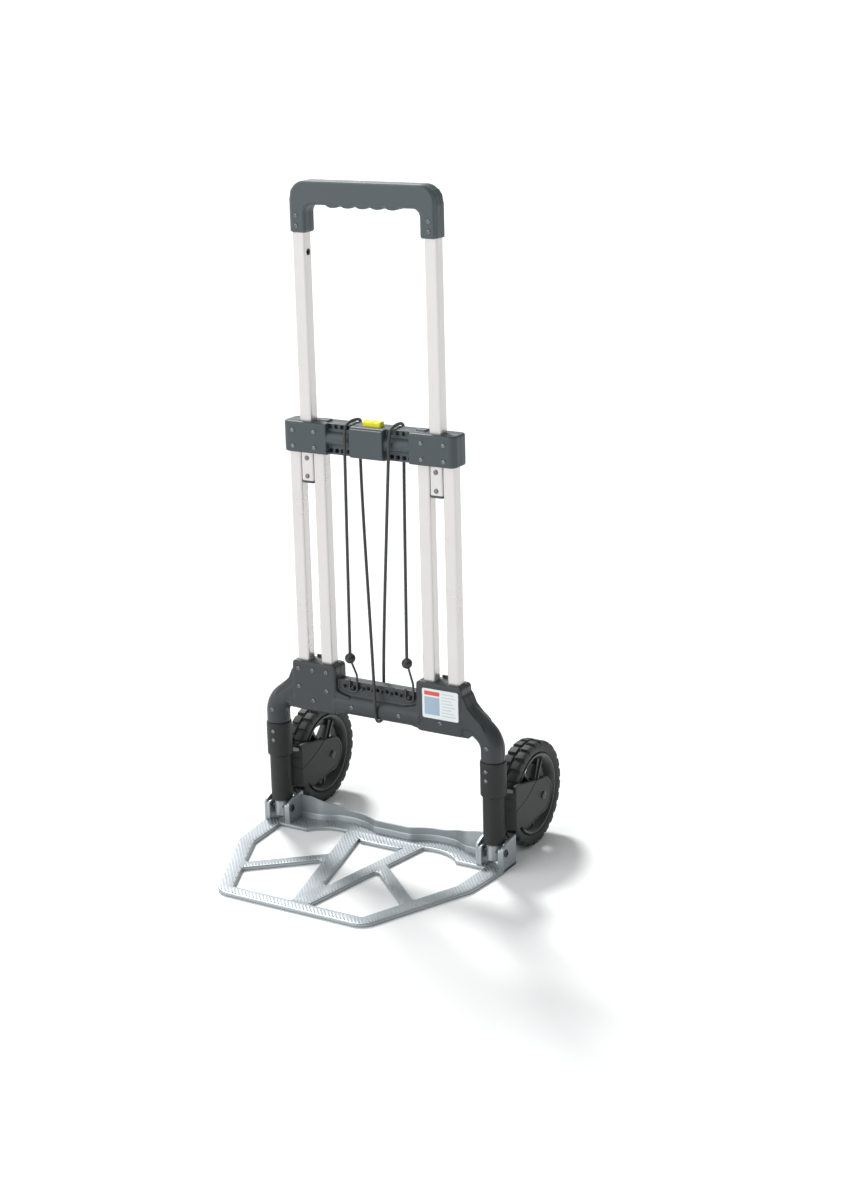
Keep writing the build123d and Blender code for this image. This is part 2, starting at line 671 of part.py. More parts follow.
for side, sign in SIDES.items():
    wheel_x = sign * leg_x
    with BuildPart() as wheel_rim:
        for outer, inner, half in ((rim_radius, rim_inner, wheel_width / 2 - 1.0),
                                   (hub_radius, axle_radius + running, hub_half)):
            with BuildSketch(side_plane(wheel_x)):
                with Locations((axle_y, axle_z)):
                    Circle(outer)
                    Circle(inner, mode=Mode.SUBTRACT)
            extrude(amount=half, both=True)
        # dished web with one window between each pair of spokes
        with BuildSketch(side_plane(wheel_x)):
            with Locations((axle_y, axle_z)):
                Circle(rim_inner + 1)
                Circle(hub_radius - 1, mode=Mode.SUBTRACT)
        extrude(amount=3.0, both=True)
        for index in range(spoke_count):
            angle = radians(360 * index / spoke_count + 18)
            mid = (rim_inner + hub_radius) / 2 + 2
            centre = (axle_y + mid * cos(angle), axle_z + mid * sin(angle))
            with BuildSketch(side_plane(wheel_x)):
                with Locations(Location(centre, 360 * index / spoke_count + 18)):
                    Trapezoid(34, 26, 65, rotation=90)
            extrude(amount=4.0, both=True, mode=Mode.SUBTRACT)
            spoke = radians(360 * (index + 0.5) / spoke_count + 18)
            centre = (axle_y + mid * cos(spoke), axle_z + mid * sin(spoke))
            with BuildSketch(side_plane(wheel_x)):
                with Locations(Location(centre, 360 * (index + 0.5) / spoke_count + 18)):
                    Rectangle(rim_inner - hub_radius, 4)
            extrude(amount=9.0, both=True)
    save(wheel_rim.part, f"wheel_rim_{side}")

    with BuildPart() as wheel_tyre:
        with BuildSketch(side_plane(wheel_x)):
            with Locations((axle_y, axle_z)):
                Circle(wheel_radius)
                Circle(rim_radius + seat_gap, mode=Mode.SUBTRACT)
        extrude(amount=wheel_width / 2, both=True)
        for start, turn in ((2.0, 0.25), (-wheel_width / 2, 0.75)):
            step = 360 / tread_blocks
            with BuildSketch(side_plane(wheel_x + start)):
                for index in range(tread_blocks):
                    angle = step * (index + turn)
                    spot = (axle_y + wheel_radius * cos(radians(angle)),
                            axle_z + wheel_radius * sin(radians(angle)))
                    with Locations(Location(spot, angle)):
                        Rectangle(2 * tread_depth, 6.5)
            extrude(amount=wheel_width / 2 - 2.0, mode=Mode.SUBTRACT)
    save(wheel_tyre.part, f"wheel_tyre_{side}")

# ---- toe plate -----------------------------------------------------------------------------
hinge_y = leg_y - hinge_forward
plate_side = leg_x + ear_inner + ear_thickness
plate_mid_y = leg_y - 104.0
plate_front_y = leg_y - toe_reach
plate_front_half = 132.0
wheel_spot = leg_x - wheel_arm                      # where a folded wheel's axle comes
arc_y = hinge_y - (wheel_radius - hinge_z)          # the same spot on the unfolded plate
wall_radius = wheel_radius + wall_room
flat_half = 36.0
wall_flat_y = arc_y + sqrt(wall_radius ** 2 - (wheel_spot - flat_half) ** 2)
window_radius = wall_radius - ledge_width
window_flat_y = arc_y + sqrt(window_radius ** 2 - (wheel_spot - flat_half) ** 2)
ear_front = leg_y - 18.0
ear_rear = leg_y + 25.0
ear_top = 51.5


def rib(start, end, width):
    """A straight rib of the toe plate, taken out of the windows being drawn."""
    (x0, y0), (x1, y1) = start, end
    length = sqrt((x1 - x0) ** 2 + (y1 - y0) ** 2)
    with Locations(Location(((x0 + x1) / 2, (y0 + y1) / 2), degrees(atan2(y1 - y0, x1 - x0)))):
        Rectangle(length, width, mode=Mode.SUBTRACT)


with BuildPart() as toe_plate:
    # outline, with the arcs that go round the folded wheels
    with BuildSketch():
        with BuildLine():
            FilletPolyline((-plate_side, ear_rear), (-plate_side, ear_front - 2),
                           (-plate_side + 9, plate_mid_y), (-plate_front_half, plate_front_y),
                           (plate_front_half, plate_front_y), (plate_side - 9, plate_mid_y),
                           (plate_side, ear_front - 2), (plate_side, ear_rear),
                           radius=[3, 10, 24, 30, 30, 24, 10, 3], close=True)
        make_face()
        with Locations((0, ear_front + 60)):
            Rectangle(2 * (leg_x - ear_inner), 120, mode=Mode.SUBTRACT)
        with Locations(*[(sign * wheel_spot, arc_y) for sign in SIDES.values()]):
            Circle(wall_radius + wall_thickness)
        with Locations((0, (wall_flat_y + wall_thickness + arc_y) / 2)):
            Rectangle(2 * flat_half, wall_flat_y + wall_thickness - arc_y)
        # pocket round the foot of each leg
        with Locations(*[(sign * leg_x, ear_front + 34) for sign in SIDES.values()]):
            Rectangle(2 * ear_inner, 48, mode=Mode.SUBTRACT)
    extrude(amount=plate_z)
    # the five windows between the rim, the two long ribs and the two short ones
    with BuildSketch() as windows:
        Polygon((-plate_side + 32, window_flat_y), (-plate_side + 37, plate_mid_y + 4),
                (-plate_front_half + 16, plate_front_y + 24),
                (plate_front_half - 16, plate_front_y + 24),
                (plate_side - 37, plate_mid_y + 4), (plate_side - 32, window_flat_y), align=None)
        with Locations(*[(sign * wheel_spot, arc_y) for sign in SIDES.values()]):
            Circle(window_radius)
        apex = (8, plate_front_y + 14)
        rib(apex, (-66, leg_y + 20), rib_width + 5)
        rib(apex, (60, leg_y + 20), rib_width)
        rib((-172, leg_y - 205), (-34, leg_y - 86), rib_width - 3)
        rib((172, leg_y - 205), (40, leg_y - 86), rib_width - 3)
        fillet(windows.vertices().filter_by(lambda v: v.Y < arc_y - 20), 5.0)
    extrude(amount=plate_z, mode=Mode.SUBTRACT)
    # upright rear wall that follows the arcs
    with BuildSketch():
        with Locations(*[(sign * wheel_spot, arc_y) for sign in SIDES.values()]):
            Circle(wall_radius + wall_thickness)
        with Locations((0, (wall_flat_y + wall_thickness + arc_y) / 2)):
            Rectangle(2 * flat_half, wall_flat_y + wall_thickness - arc_y)
        with Locations(*[(sign * wheel_spot, arc_y) for sign in SIDES.values()]):
            Circle(wall_radius, mode=Mode.SUBTRACT)
        with Locations((0, (wall_flat_y + arc_y) / 2)):
            Rectangle(2 * flat_half, wall_flat_y - arc_y, mode=Mode.SUBTRACT)
        with Locations((0, ear_front - 150)):
            Rectangle(500, 300, mode=Mode.SUBTRACT)
        for sign in SIDES.values():
            with Locations((sign * (leg_x - ear_inner + 50), leg_y)):
                Rectangle(100, 200, mode=Mode.SUBTRACT)
    extrude(amount=wall_top)
    # ears on both sides of each leg, with the hinge pin's holes
    for sign in SIDES.values():
        for ear_x in (sign * leg_x - ear_inner - ear_thickness, sign * leg_x + ear_inner):
            with BuildSketch(side_plane(ear_x)):
                with BuildLine():
                    FilletPolyline((ear_front, 0), (ear_front, ear_top), (leg_y, ear_top),
                                   (ear_rear, ear_top - 12), (ear_rear, 0),
                                   radius=[0, 12, 20, 6, 0], close=True)
                make_face()
            extrude(amount=ear_thickness)
        with BuildSketch(side_plane(sign * leg_x)):
            with Locations((hinge_y, hinge_z)):
                Circle(hinge_radius + seat_gap)
        extrude(amount=2 * ear_inner, both=True, mode=Mode.SUBTRACT)
save(toe_plate.part, "toe_plate")

pin_half = ear_inner + ear_thickness
pin_head_radius = 6.2
for side, sign in SIDES.items():
    with BuildPart() as hinge_pin:
        with BuildSketch(side_plane(sign * leg_x)):
            with Locations((hinge_y, hinge_z)):
                Circle(hinge_radius)
        extrude(amount=pin_half, both=True)
        for face_x, amount in ((sign * leg_x + pin_half, 2.5), (sign * leg_x - pin_half, -2.5)):
            with BuildSketch(side_plane(face_x)):
                with Locations((hinge_y, hinge_z)):
                    Circle(pin_head_radius)
            extrude(amount=amount)
        for end in (0, -1):
            chamfer(hinge_pin.faces().sort_by(Axis.X)[end].edges(), 0.8)
    save(hinge_pin.part, f"hinge_pin_{side}")

# ---- elastic cord: from one hook over the middle bar, under the lower bar and back ----------
knot_y = leg_y - 15.0
knots = {"left": (-46.8, knot_y, 311.0), "right": (57.6, knot_y, 318.0)}
knot_exit = knot_radius - 2.0
over_bar = midbar_top + cord_radius + 2.5          # clear of the middle bar on every side
down_front = midbar_front - cord_radius - 1.3
down_rear = midbar_rear + cord_radius + 2.5
bar_gap = bar_radius + cord_radius + 0.5
low_front_y = bar_y - bar_gap
low_rear_y = bar_y + bar_gap
low_under_z = bar_z - bar_gap


def over_middle_bar(front_low, front_high, rear_high, rear_low):
    """The cord's points round the middle bar, from its x on the front to its x at the back."""
    return [(front_low, down_front, midbar_bottom + 2), (front_high, down_front, midbar_top - 7),
            (front_high, midbar_front + 4, over_bar), (rear_high, midbar_rear - 2.5, over_bar),
            (rear_high, down_rear + 2.5, midbar_top - 2), (rear_low, down_rear, midbar_bottom - 4)]


cord_points = [
    (knots["left"][0], knot_y, knots["left"][2] + knot_exit),
    *over_middle_bar(-37.5, -36.6, -38.5, -43.5),
    (2.5, low_front_y, strip_top - 4), (1.8, low_front_y, low_under_z),
    (-3.5, low_rear_y, low_under_z), (-8.5, low_rear_y, strip_top - 4),
    *over_middle_bar(40.5, 43.0, 38.5, 37.0),
    (knots["right"][0], knot_y, knots["right"][2] + knot_exit),
]
edge_bend = 10.0            # the cord's bends round the middle bar
long_bend = 60.0
round_bar = [long_bend, edge_bend, edge_bend, edge_bend, edge_bend, long_bend]
low_bend = bar_gap - 3.0
cord_bends = [*round_bar, long_bend, low_bend, low_bend, long_bend, *round_bar]

with BuildPart() as cord:
    with BuildLine() as cord_path:
        FilletPolyline(*cord_points, radius=cord_bends)
    with BuildSketch(Plane(origin=cord_path.line @ 0, z_dir=cord_path.line % 0)):
        Circle(cord_radius)
    sweep()
save(cord.part, "cord")
cord_length = cord_path.wire().length
print("cord bends", cord_bends)
print("cord points", [tuple(round(value, 2) for value in point) for point in cord_points])
print("cord length", cord_length, "volume over section times length",
      cord.part.volume / (pi * cord_radius ** 2 * cord_length))

hook_bend = 7.0
hook_z = strip_hole_z - 0.5
hook_y = strip_front - wire_radius - 1.2
hook_pegs = {"left": peg_x[1], "right": peg_x[7]}
for side, sign in SIDES.items():
    knot = knots[side]
    with BuildPart() as cord_knot:
        with Locations(knot):
            Sphere(knot_radius)
    save(cord_knot.part, f"cord_knot_{side}")
    rise_x = hook_pegs[side] + hook_bend
    tip_x = hook_pegs[side] - hook_bend
    with BuildPart() as cord_hook:
        with BuildLine() as hook_path:
            FilletPolyline((knot[0] + 2, knot[1], knot[2] - knot_radius + 3),
                           (rise_x, hook_y, hook_z + 22), (rise_x, hook_y, hook_z - hook_bend),
                           (tip_x, hook_y, hook_z - hook_bend), (tip_x, hook_y, hook_z + 13),
                           radius=[12, hook_bend - 0.3, hook_bend - 0.3])
        with BuildSketch(Plane(origin=hook_path.line @ 0, z_dir=hook_path.line % 0)):
            Circle(wire_radius)
        sweep()
    save(cord_hook.part, f"cord_hook_{side}")
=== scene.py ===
"""Looks of a folding luggage cart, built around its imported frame.

Lengths inside the classes are millimetres, as in the part's own source. A mesh is scaled to
metres when its object is made.
"""
import json
import logging
import math
from dataclasses import dataclass, field
from enum import Enum
from typing import Callable, Sequence

import bmesh
import bpy
import numpy as np
from mathutils import Matrix, Vector
from mathutils.geometry import tessellate_polygon

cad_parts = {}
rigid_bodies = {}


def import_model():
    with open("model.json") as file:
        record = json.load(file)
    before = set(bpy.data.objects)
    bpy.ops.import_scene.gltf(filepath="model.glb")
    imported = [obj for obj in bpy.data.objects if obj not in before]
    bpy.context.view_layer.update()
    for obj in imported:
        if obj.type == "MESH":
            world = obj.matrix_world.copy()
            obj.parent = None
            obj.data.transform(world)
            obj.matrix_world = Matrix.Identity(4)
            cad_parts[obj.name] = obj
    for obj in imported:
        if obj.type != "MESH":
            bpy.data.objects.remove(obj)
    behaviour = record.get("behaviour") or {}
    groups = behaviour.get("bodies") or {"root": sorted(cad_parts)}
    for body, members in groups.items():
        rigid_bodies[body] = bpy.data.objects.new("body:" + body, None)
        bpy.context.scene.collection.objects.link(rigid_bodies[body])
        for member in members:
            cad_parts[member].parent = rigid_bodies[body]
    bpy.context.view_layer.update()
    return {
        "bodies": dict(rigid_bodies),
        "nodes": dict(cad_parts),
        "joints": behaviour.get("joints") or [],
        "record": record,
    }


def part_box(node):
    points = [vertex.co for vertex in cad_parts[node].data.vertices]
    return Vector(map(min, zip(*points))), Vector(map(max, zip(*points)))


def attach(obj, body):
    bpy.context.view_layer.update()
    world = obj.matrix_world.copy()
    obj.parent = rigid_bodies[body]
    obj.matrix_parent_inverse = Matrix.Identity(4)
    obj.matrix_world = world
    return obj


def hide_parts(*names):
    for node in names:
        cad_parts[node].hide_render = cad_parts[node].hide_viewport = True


LOG = logging.getLogger("luggage_cart")
MM = 0.001

Point2 = tuple[float, float]
Point3 = tuple[float, float, float]
Colour = tuple[float, float, float]
Placing = Callable[[float, float, float], Point3]
Layer = tuple[float, float]


class Side(Enum):
    """The two mirrored halves of the cart."""

    LEFT = -1
    RIGHT = 1

    @property
    def word(self) -> str:
        """Name used in the frame's nodes and bodies."""
        return self.name.lower()


class Effect(Enum):
    """Surface effects that several finishes share."""

    GRAIN = "Moulded grain"
    DRAWN = "Drawn lines"
    CAST = "Cast skin"
    BRAID = "Braided sleeve"


class HeadStyle(Enum):
    """Shapes of the fasteners' heads."""

    RIVET = "plain dome"
    SCREW = "dome with a driver recess"


# ---- shared shader effects -----------------------------------------------------------------
def shader_node(tree: bpy.types.NodeTree, kind: str, **inputs: object) -> bpy.types.Node:
    """Add a node to a tree and set its sockets.

    Args:
        tree: The tree.
        kind: Type of the node.
        inputs: Values of its sockets; an underscore stands for a space in a socket's name.

    Returns:
        The new node.
    """
    made = tree.nodes.new(kind)
    for name, value in inputs.items():
        made.inputs[name.replace("_", " ")].default_value = value
    return made


class EffectGroup:
    """Builds each shared effect once, as a node group with named sockets."""

    made: dict[Effect, bpy.types.NodeTree] = {}

    @classmethod
    def tree(cls, effect: Effect) -> bpy.types.NodeTree:
        """Give the node group of an effect, building it at its first use.

        Args:
            effect: The effect that a finish asks for.

        Returns:
            A group with inputs Vector, Scale and Contrast and outputs Mask and Height.
        """
        if effect not in cls.made:
            tree = bpy.data.node_groups.new(effect.value, "ShaderNodeTree")
            tree.interface.new_socket("Vector", in_out="INPUT", socket_type="NodeSocketVector")
            for name in ("Scale", "Contrast"):
                tree.interface.new_socket(name, in_out="INPUT", socket_type="NodeSocketFloat")
            for name in ("Mask", "Height"):
                tree.interface.new_socket(name, in_out="OUTPUT", socket_type="NodeSocketFloat")
            cls._fill(tree, effect)
            cls.made[effect] = tree
        return cls.made[effect]

    @staticmethod
    def _fill(tree: bpy.types.NodeTree, effect: Effect) -> None:
        """Add the nodes of an effect to its empty group.

        Args:
            tree: Group that already has its sockets.
            effect: Which pattern to draw.
        """
        links = tree.links
        source = shader_node(tree, "NodeGroupInput")
        result = shader_node(tree, "NodeGroupOutput")
        fine = shader_node(tree, "ShaderNodeTexNoise", Detail=4.0)
        broad = shader_node(tree, "ShaderNodeTexNoise", Scale=14.0, Detail=3.0)
        vector = source.outputs["Vector"]
        if effect is Effect.DRAWN:
            vector = EffectGroup._scaled(tree, source, (1.0, 1.0, 0.01))
        links.new(vector, fine.inputs["Vector"])
        links.new(source.outputs["Vector"], broad.inputs["Vector"])
        links.new(source.outputs["Scale"], fine.inputs["Scale"])
        mask, height = broad.outputs["Fac"], fine.outputs["Fac"]
        if effect is Effect.BRAID:
            mask = height = EffectGroup._braid(tree, source)
        # spread the mask about its middle value by the contrast
        offset = tree.nodes.new("ShaderNodeMath")
        offset.operation = "SUBTRACT"
        offset.inputs[1].default_value = 0.5
        spread = tree.nodes.new("ShaderNodeMath")
        spread.operation = "MULTIPLY_ADD"
        spread.inputs[2].default_value = 0.5
        spread.use_clamp = True
        links.new(mask, offset.inputs[0])
        links.new(offset.outputs[0], spread.inputs[0])
        links.new(source.outputs["Contrast"], spread.inputs[1])
        links.new(spread.outputs[0], result.inputs["Mask"])
        links.new(height, result.inputs["Height"])

    @staticmethod
    def _scaled(tree: bpy.types.NodeTree, source: bpy.types.Node,
                factors: Point3) -> bpy.types.NodeSocket:
        """Scale the group's vector along each axis."""
        scaled = tree.nodes.new("ShaderNodeVectorMath")
        scaled.operation = "MULTIPLY"
        scaled.inputs[1].default_value = factors
        tree.links.new(source.outputs["Vector"], scaled.inputs[0])
        return scaled.outputs["Vector"]

    @staticmethod
    def _braid(tree: bpy.types.NodeTree, source: bpy.types.Node) -> bpy.types.NodeSocket:
        """Cross two sets of slanted bands.

        Args:
            tree: The braid's group.
            source: Its input node.

        Returns:
            The socket with the height of the strands.
        """
        bands = []
        for tilt in (1.0, -1.0):
            wave = shader_node(tree, "ShaderNodeTexWave", Distortion=0.0)
            wave.bands_direction = "DIAGONAL"
            leaning = EffectGroup._scaled(tree, source, (tilt, tilt, 1.0))
            tree.links.new(leaning, wave.inputs["Vector"])
            tree.links.new(source.outputs["Scale"], wave.inputs["Scale"])
            bands.append(wave.outputs["Fac"])
        top = tree.nodes.new("ShaderNodeMath")
        top.operation = "MAXIMUM"
        tree.links.new(bands[0], top.inputs[0])
        tree.links.new(bands[1], top.inputs[1])
        return top.outputs[0]


@dataclass(frozen=True)
class Finish:
    """A surface: two close colours mixed by a shared effect, with a fine relief.

    Attributes:
        slot: The record's material slot.
        colour: Main colour, linear.
        tint: Second colour, linear, where the effect's mask is high.
        roughness: Roughness at both ends of the mask.
        metallic: Share of metal in the shader.
        effect: The shared effect that mixes the colours.
        scale: Scale of the effect's fine noise or strands.
        contrast: How strongly the mask parts the two colours.
        relief: Strength of the bump.
        specular: The shader's specular level.
        name: Name of the material, where it isn't the slot's.
    """

    slot: str
    colour: Colour
    tint: Colour
    roughness: tuple[float, float]
    metallic: float = 0.0
    effect: Effect = Effect.GRAIN
    scale: float = 900.0
    contrast: float = 1.0
    relief: float = 0.15
    specular: float = 0.5
    name: str = ""

    def material(self) -> bpy.types.Material:
        """Give this finish's material, building it at its first use."""
        title = f"finish_{self.name or self.slot}"
        found = bpy.data.materials.get(title)
        if found:
            return found
        made = bpy.data.materials.new(title)
        made.use_nodes = True
        tree, links = made.node_tree, made.node_tree.links
        shader = tree.nodes["Principled BSDF"]
        shader.inputs["Metallic"].default_value = self.metallic
        shader.inputs["Specular IOR Level"].default_value = self.specular
        place = shader_node(tree, "ShaderNodeTexCoord")
        effect = shader_node(tree, "ShaderNodeGroup")
        effect.node_tree = EffectGroup.tree(self.effect)
        effect.inputs["Scale"].default_value = self.scale
        effect.inputs["Contrast"].default_value = self.contrast
        links.new(place.outputs["Object"], effect.inputs["Vector"])
        mix = shader_node(tree, "ShaderNodeMix")
        mix.data_type = "RGBA"
        mix.inputs["A"].default_value = (*self.colour, 1.0)
        mix.inputs["B"].default_value = (*self.tint, 1.0)
        links.new(effect.outputs["Mask"], mix.inputs["Factor"])
        links.new(mix.outputs["Result"], shader.inputs["Base Color"])
        rough = shader_node(tree, "ShaderNodeMapRange")
        rough.inputs["To Min"].default_value, rough.inputs["To Max"].default_value = self.roughness
        links.new(effect.outputs["Mask"], rough.inputs["Value"])
        links.new(rough.outputs["Result"], shader.inputs["Roughness"])
        bump = shader_node(tree, "ShaderNodeBump", Strength=self.relief, Distance=0.0004)
        links.new(effect.outputs["Height"], bump.inputs["Height"])
        links.new(bump.outputs["Normal"], shader.inputs["Normal"])
        return made


GRIP_PLASTIC = Finish("grip_plastic", (0.050, 0.066, 0.074), (0.060, 0.077, 0.086), (0.42, 0.50))
BAR_PLASTIC = Finish("bar_plastic", (0.040, 0.053, 0.060), (0.049, 0.063, 0.071), (0.42, 0.52))
FRAME_PLASTIC = Finish("frame_plastic", (0.022, 0.026, 0.029), (0.029, 0.034, 0.037), (0.38, 0.48))
SLEEVE_PLASTIC = Finish("sleeve_plastic", (0.016, 0.019, 0.018), (0.021, 0.025, 0.024),
                        (0.48, 0.60), specular=0.35)
RIM_PLASTIC = Finish("rim_plastic", (0.011, 0.012, 0.013), (0.015, 0.016, 0.017), (0.30, 0.40))
TYRE_RUBBER = Finish("tyre_rubber", (0.022, 0.024, 0.024), (0.032, 0.034, 0.033), (0.56, 0.72),
                     relief=0.3, specular=0.4)
TUBE_ALUMINIUM = Finish("tube_aluminium", (0.60, 0.575, 0.565), (0.65, 0.625, 0.612), (0.24, 0.34),
                        metallic=0.6, effect=Effect.DRAWN, scale=400.0, relief=0.01)
CAST_ALUMINIUM = Finish("cast_aluminium", (0.33, 0.36, 0.38), (0.40, 0.43, 0.45), (0.34, 0.46),
                        metallic=0.6, effect=Effect.CAST, scale=700.0, relief=0.22)
SCREW_STEEL = Finish("screw_steel", (0.15, 0.16, 0.165), (0.20, 0.21, 0.215), (0.22, 0.34),
                     metallic=0.7)
BLACKED_STEEL = Finish("screw_steel", (0.045, 0.050, 0.052), (0.065, 0.070, 0.073), (0.25, 0.36),
                       metallic=0.6, name="blacked_steel")
SPRING_STEEL = Finish("spring_steel", (0.48, 0.48, 0.48), (0.54, 0.54, 0.54), (0.25, 0.35),
                      metallic=1.0)
HOOK_WIRE = Finish("hook_wire", (0.05, 0.05, 0.05), (0.07, 0.07, 0.07), (0.30, 0.42),
                   metallic=0.5)
ELASTIC_CORD = Finish("elastic_cord", (0.016, 0.016, 0.017), (0.045, 0.045, 0.047), (0.42, 0.62),
                      effect=Effect.BRAID, scale=320.0, relief=0.5)
BUTTON_PLASTIC = Finish("button_plastic", (0.93, 0.83, 0.010), (0.96, 0.87, 0.015), (0.30, 0.40),
                        relief=0.05)
LABEL_FILM = Finish("label_film", (0.66, 0.69, 0.71), (0.70, 0.73, 0.75), (0.30, 0.38),
                    relief=0.03)
INK_BLUE = Finish("label_film", (0.30, 0.40, 0.50), (0.33, 0.43, 0.53), (0.34, 0.40), name="ink_blue")
INK_GREY = Finish("label_film", (0.50, 0.52, 0.54), (0.54, 0.56, 0.58), (0.34, 0.40), name="ink_grey")
INK_RED = Finish("label_film", (0.62, 0.06, 0.05), (0.66, 0.08, 0.06), (0.34, 0.40), name="ink_red")


# ---- meshes --------------------------------------------------------------------------------
def linked(name: str, data: bpy.types.ID) -> bpy.types.Object:
    """Make an object of some data and link it to the scene."""
    made = bpy.data.objects.new(name, data)
    bpy.context.scene.collection.objects.link(made)
    return made


def both_ends(half: Sequence[Point2], low: float, high: float) -> list[Point2]:
    """Measure a profile of (radius, depth) inwards from both ends of a turned piece."""
    return [(r, low + d) for r, d in half] + [(r, high - d) for r, d in half[::-1]]


def mirrored(profile: Sequence[Point2]) -> list[Point2]:
    """Follow a profile of (radius, distance along the axis) by its mirror image."""
    return [*profile, *((radius, -along) for radius, along in profile[::-1])]


def upright(x: float, y: float) -> Placing:
    """Place a flat outline (u, v) at x, y with its layers going up."""
    return lambda u, v, w: (x + u, y + v, w)


def facing_load(y: float) -> Placing:
    """Place an outline of x and z on the plane y, with its layers coming towards the load."""
    return lambda u, v, w: (u, y - w, v)


def facing_back(y: float) -> Placing:
    """Place an outline of x and z on the plane y, with its layers going away from the load."""
    return lambda u, v, w: (u, y + w, v)


def facing_out(x: float, outward: float = 1.0) -> Placing:
    """Place an outline of y and z on the plane x, with its layers going outward along X."""
    return lambda u, v, w: (x + outward * w, u, v)


def rounded(points: Sequence[Point2], radii: Sequence[float], steps: int = 6) -> list[Point2]:
    """Round the corners of a polygon.

    Args:
        points: Corners in order.
        radii: One radius for each corner.
        steps: Straight pieces in each arc.

    Returns:
        The polygon with arcs in place of its corners.
    """
    made: list[Point2] = []
    for index, (corner, radius) in enumerate(zip(points, radii)):
        at = Vector(corner)
        back = Vector(points[index - 1]) - at
        ahead = Vector(points[(index + 1) % len(points)]) - at
        if radius <= 0:
            made.append(tuple(at))
            continue
        half = back.angle(ahead) / 2
        reach = min(radius / math.tan(half), 0.49 * back.length, 0.49 * ahead.length)
        radius = reach * math.tan(half)
        middle = at + (back.normalized() + ahead.normalized()).normalized() * (radius / math.sin(half))
        first = at + back.normalized() * reach - middle
        last = at + ahead.normalized() * reach - middle
        start = math.atan2(first.y, first.x)
        turn = math.remainder(math.atan2(last.y, last.x) - start, math.tau)
        for step in range(steps + 1):
            angle = start + turn * step / steps
            made.append((middle.x + radius * math.cos(angle), middle.y + radius * math.sin(angle)))
    return made


def area(loop: Sequence[Point2]) -> float:
    """Signed area of a loop, positive when it runs counter-clockwise."""
    return sum(a[0] * b[1] - b[0] * a[1] for a, b in zip(loop, [*loop[1:], loop[0]])) / 2


def inset(loop: Sequence[Point2], distance: float) -> list[Point2]:
    """Move a loop to its left by a distance, with mitred corners."""
    points = np.array(loop, float)
    ahead = np.roll(points, -1, axis=0) - points
    ahead /= np.linalg.norm(ahead, axis=1)[:, None]
    normal = np.stack([-ahead[:, 1], ahead[:, 0]], axis=1)
    before = np.roll(normal, 1, axis=0)
    share = 1 + np.sum(normal * before, axis=1)
    moved = points + distance * (normal + before) / np.maximum(share, 0.3)[:, None]
    return [tuple(p) for p in moved]


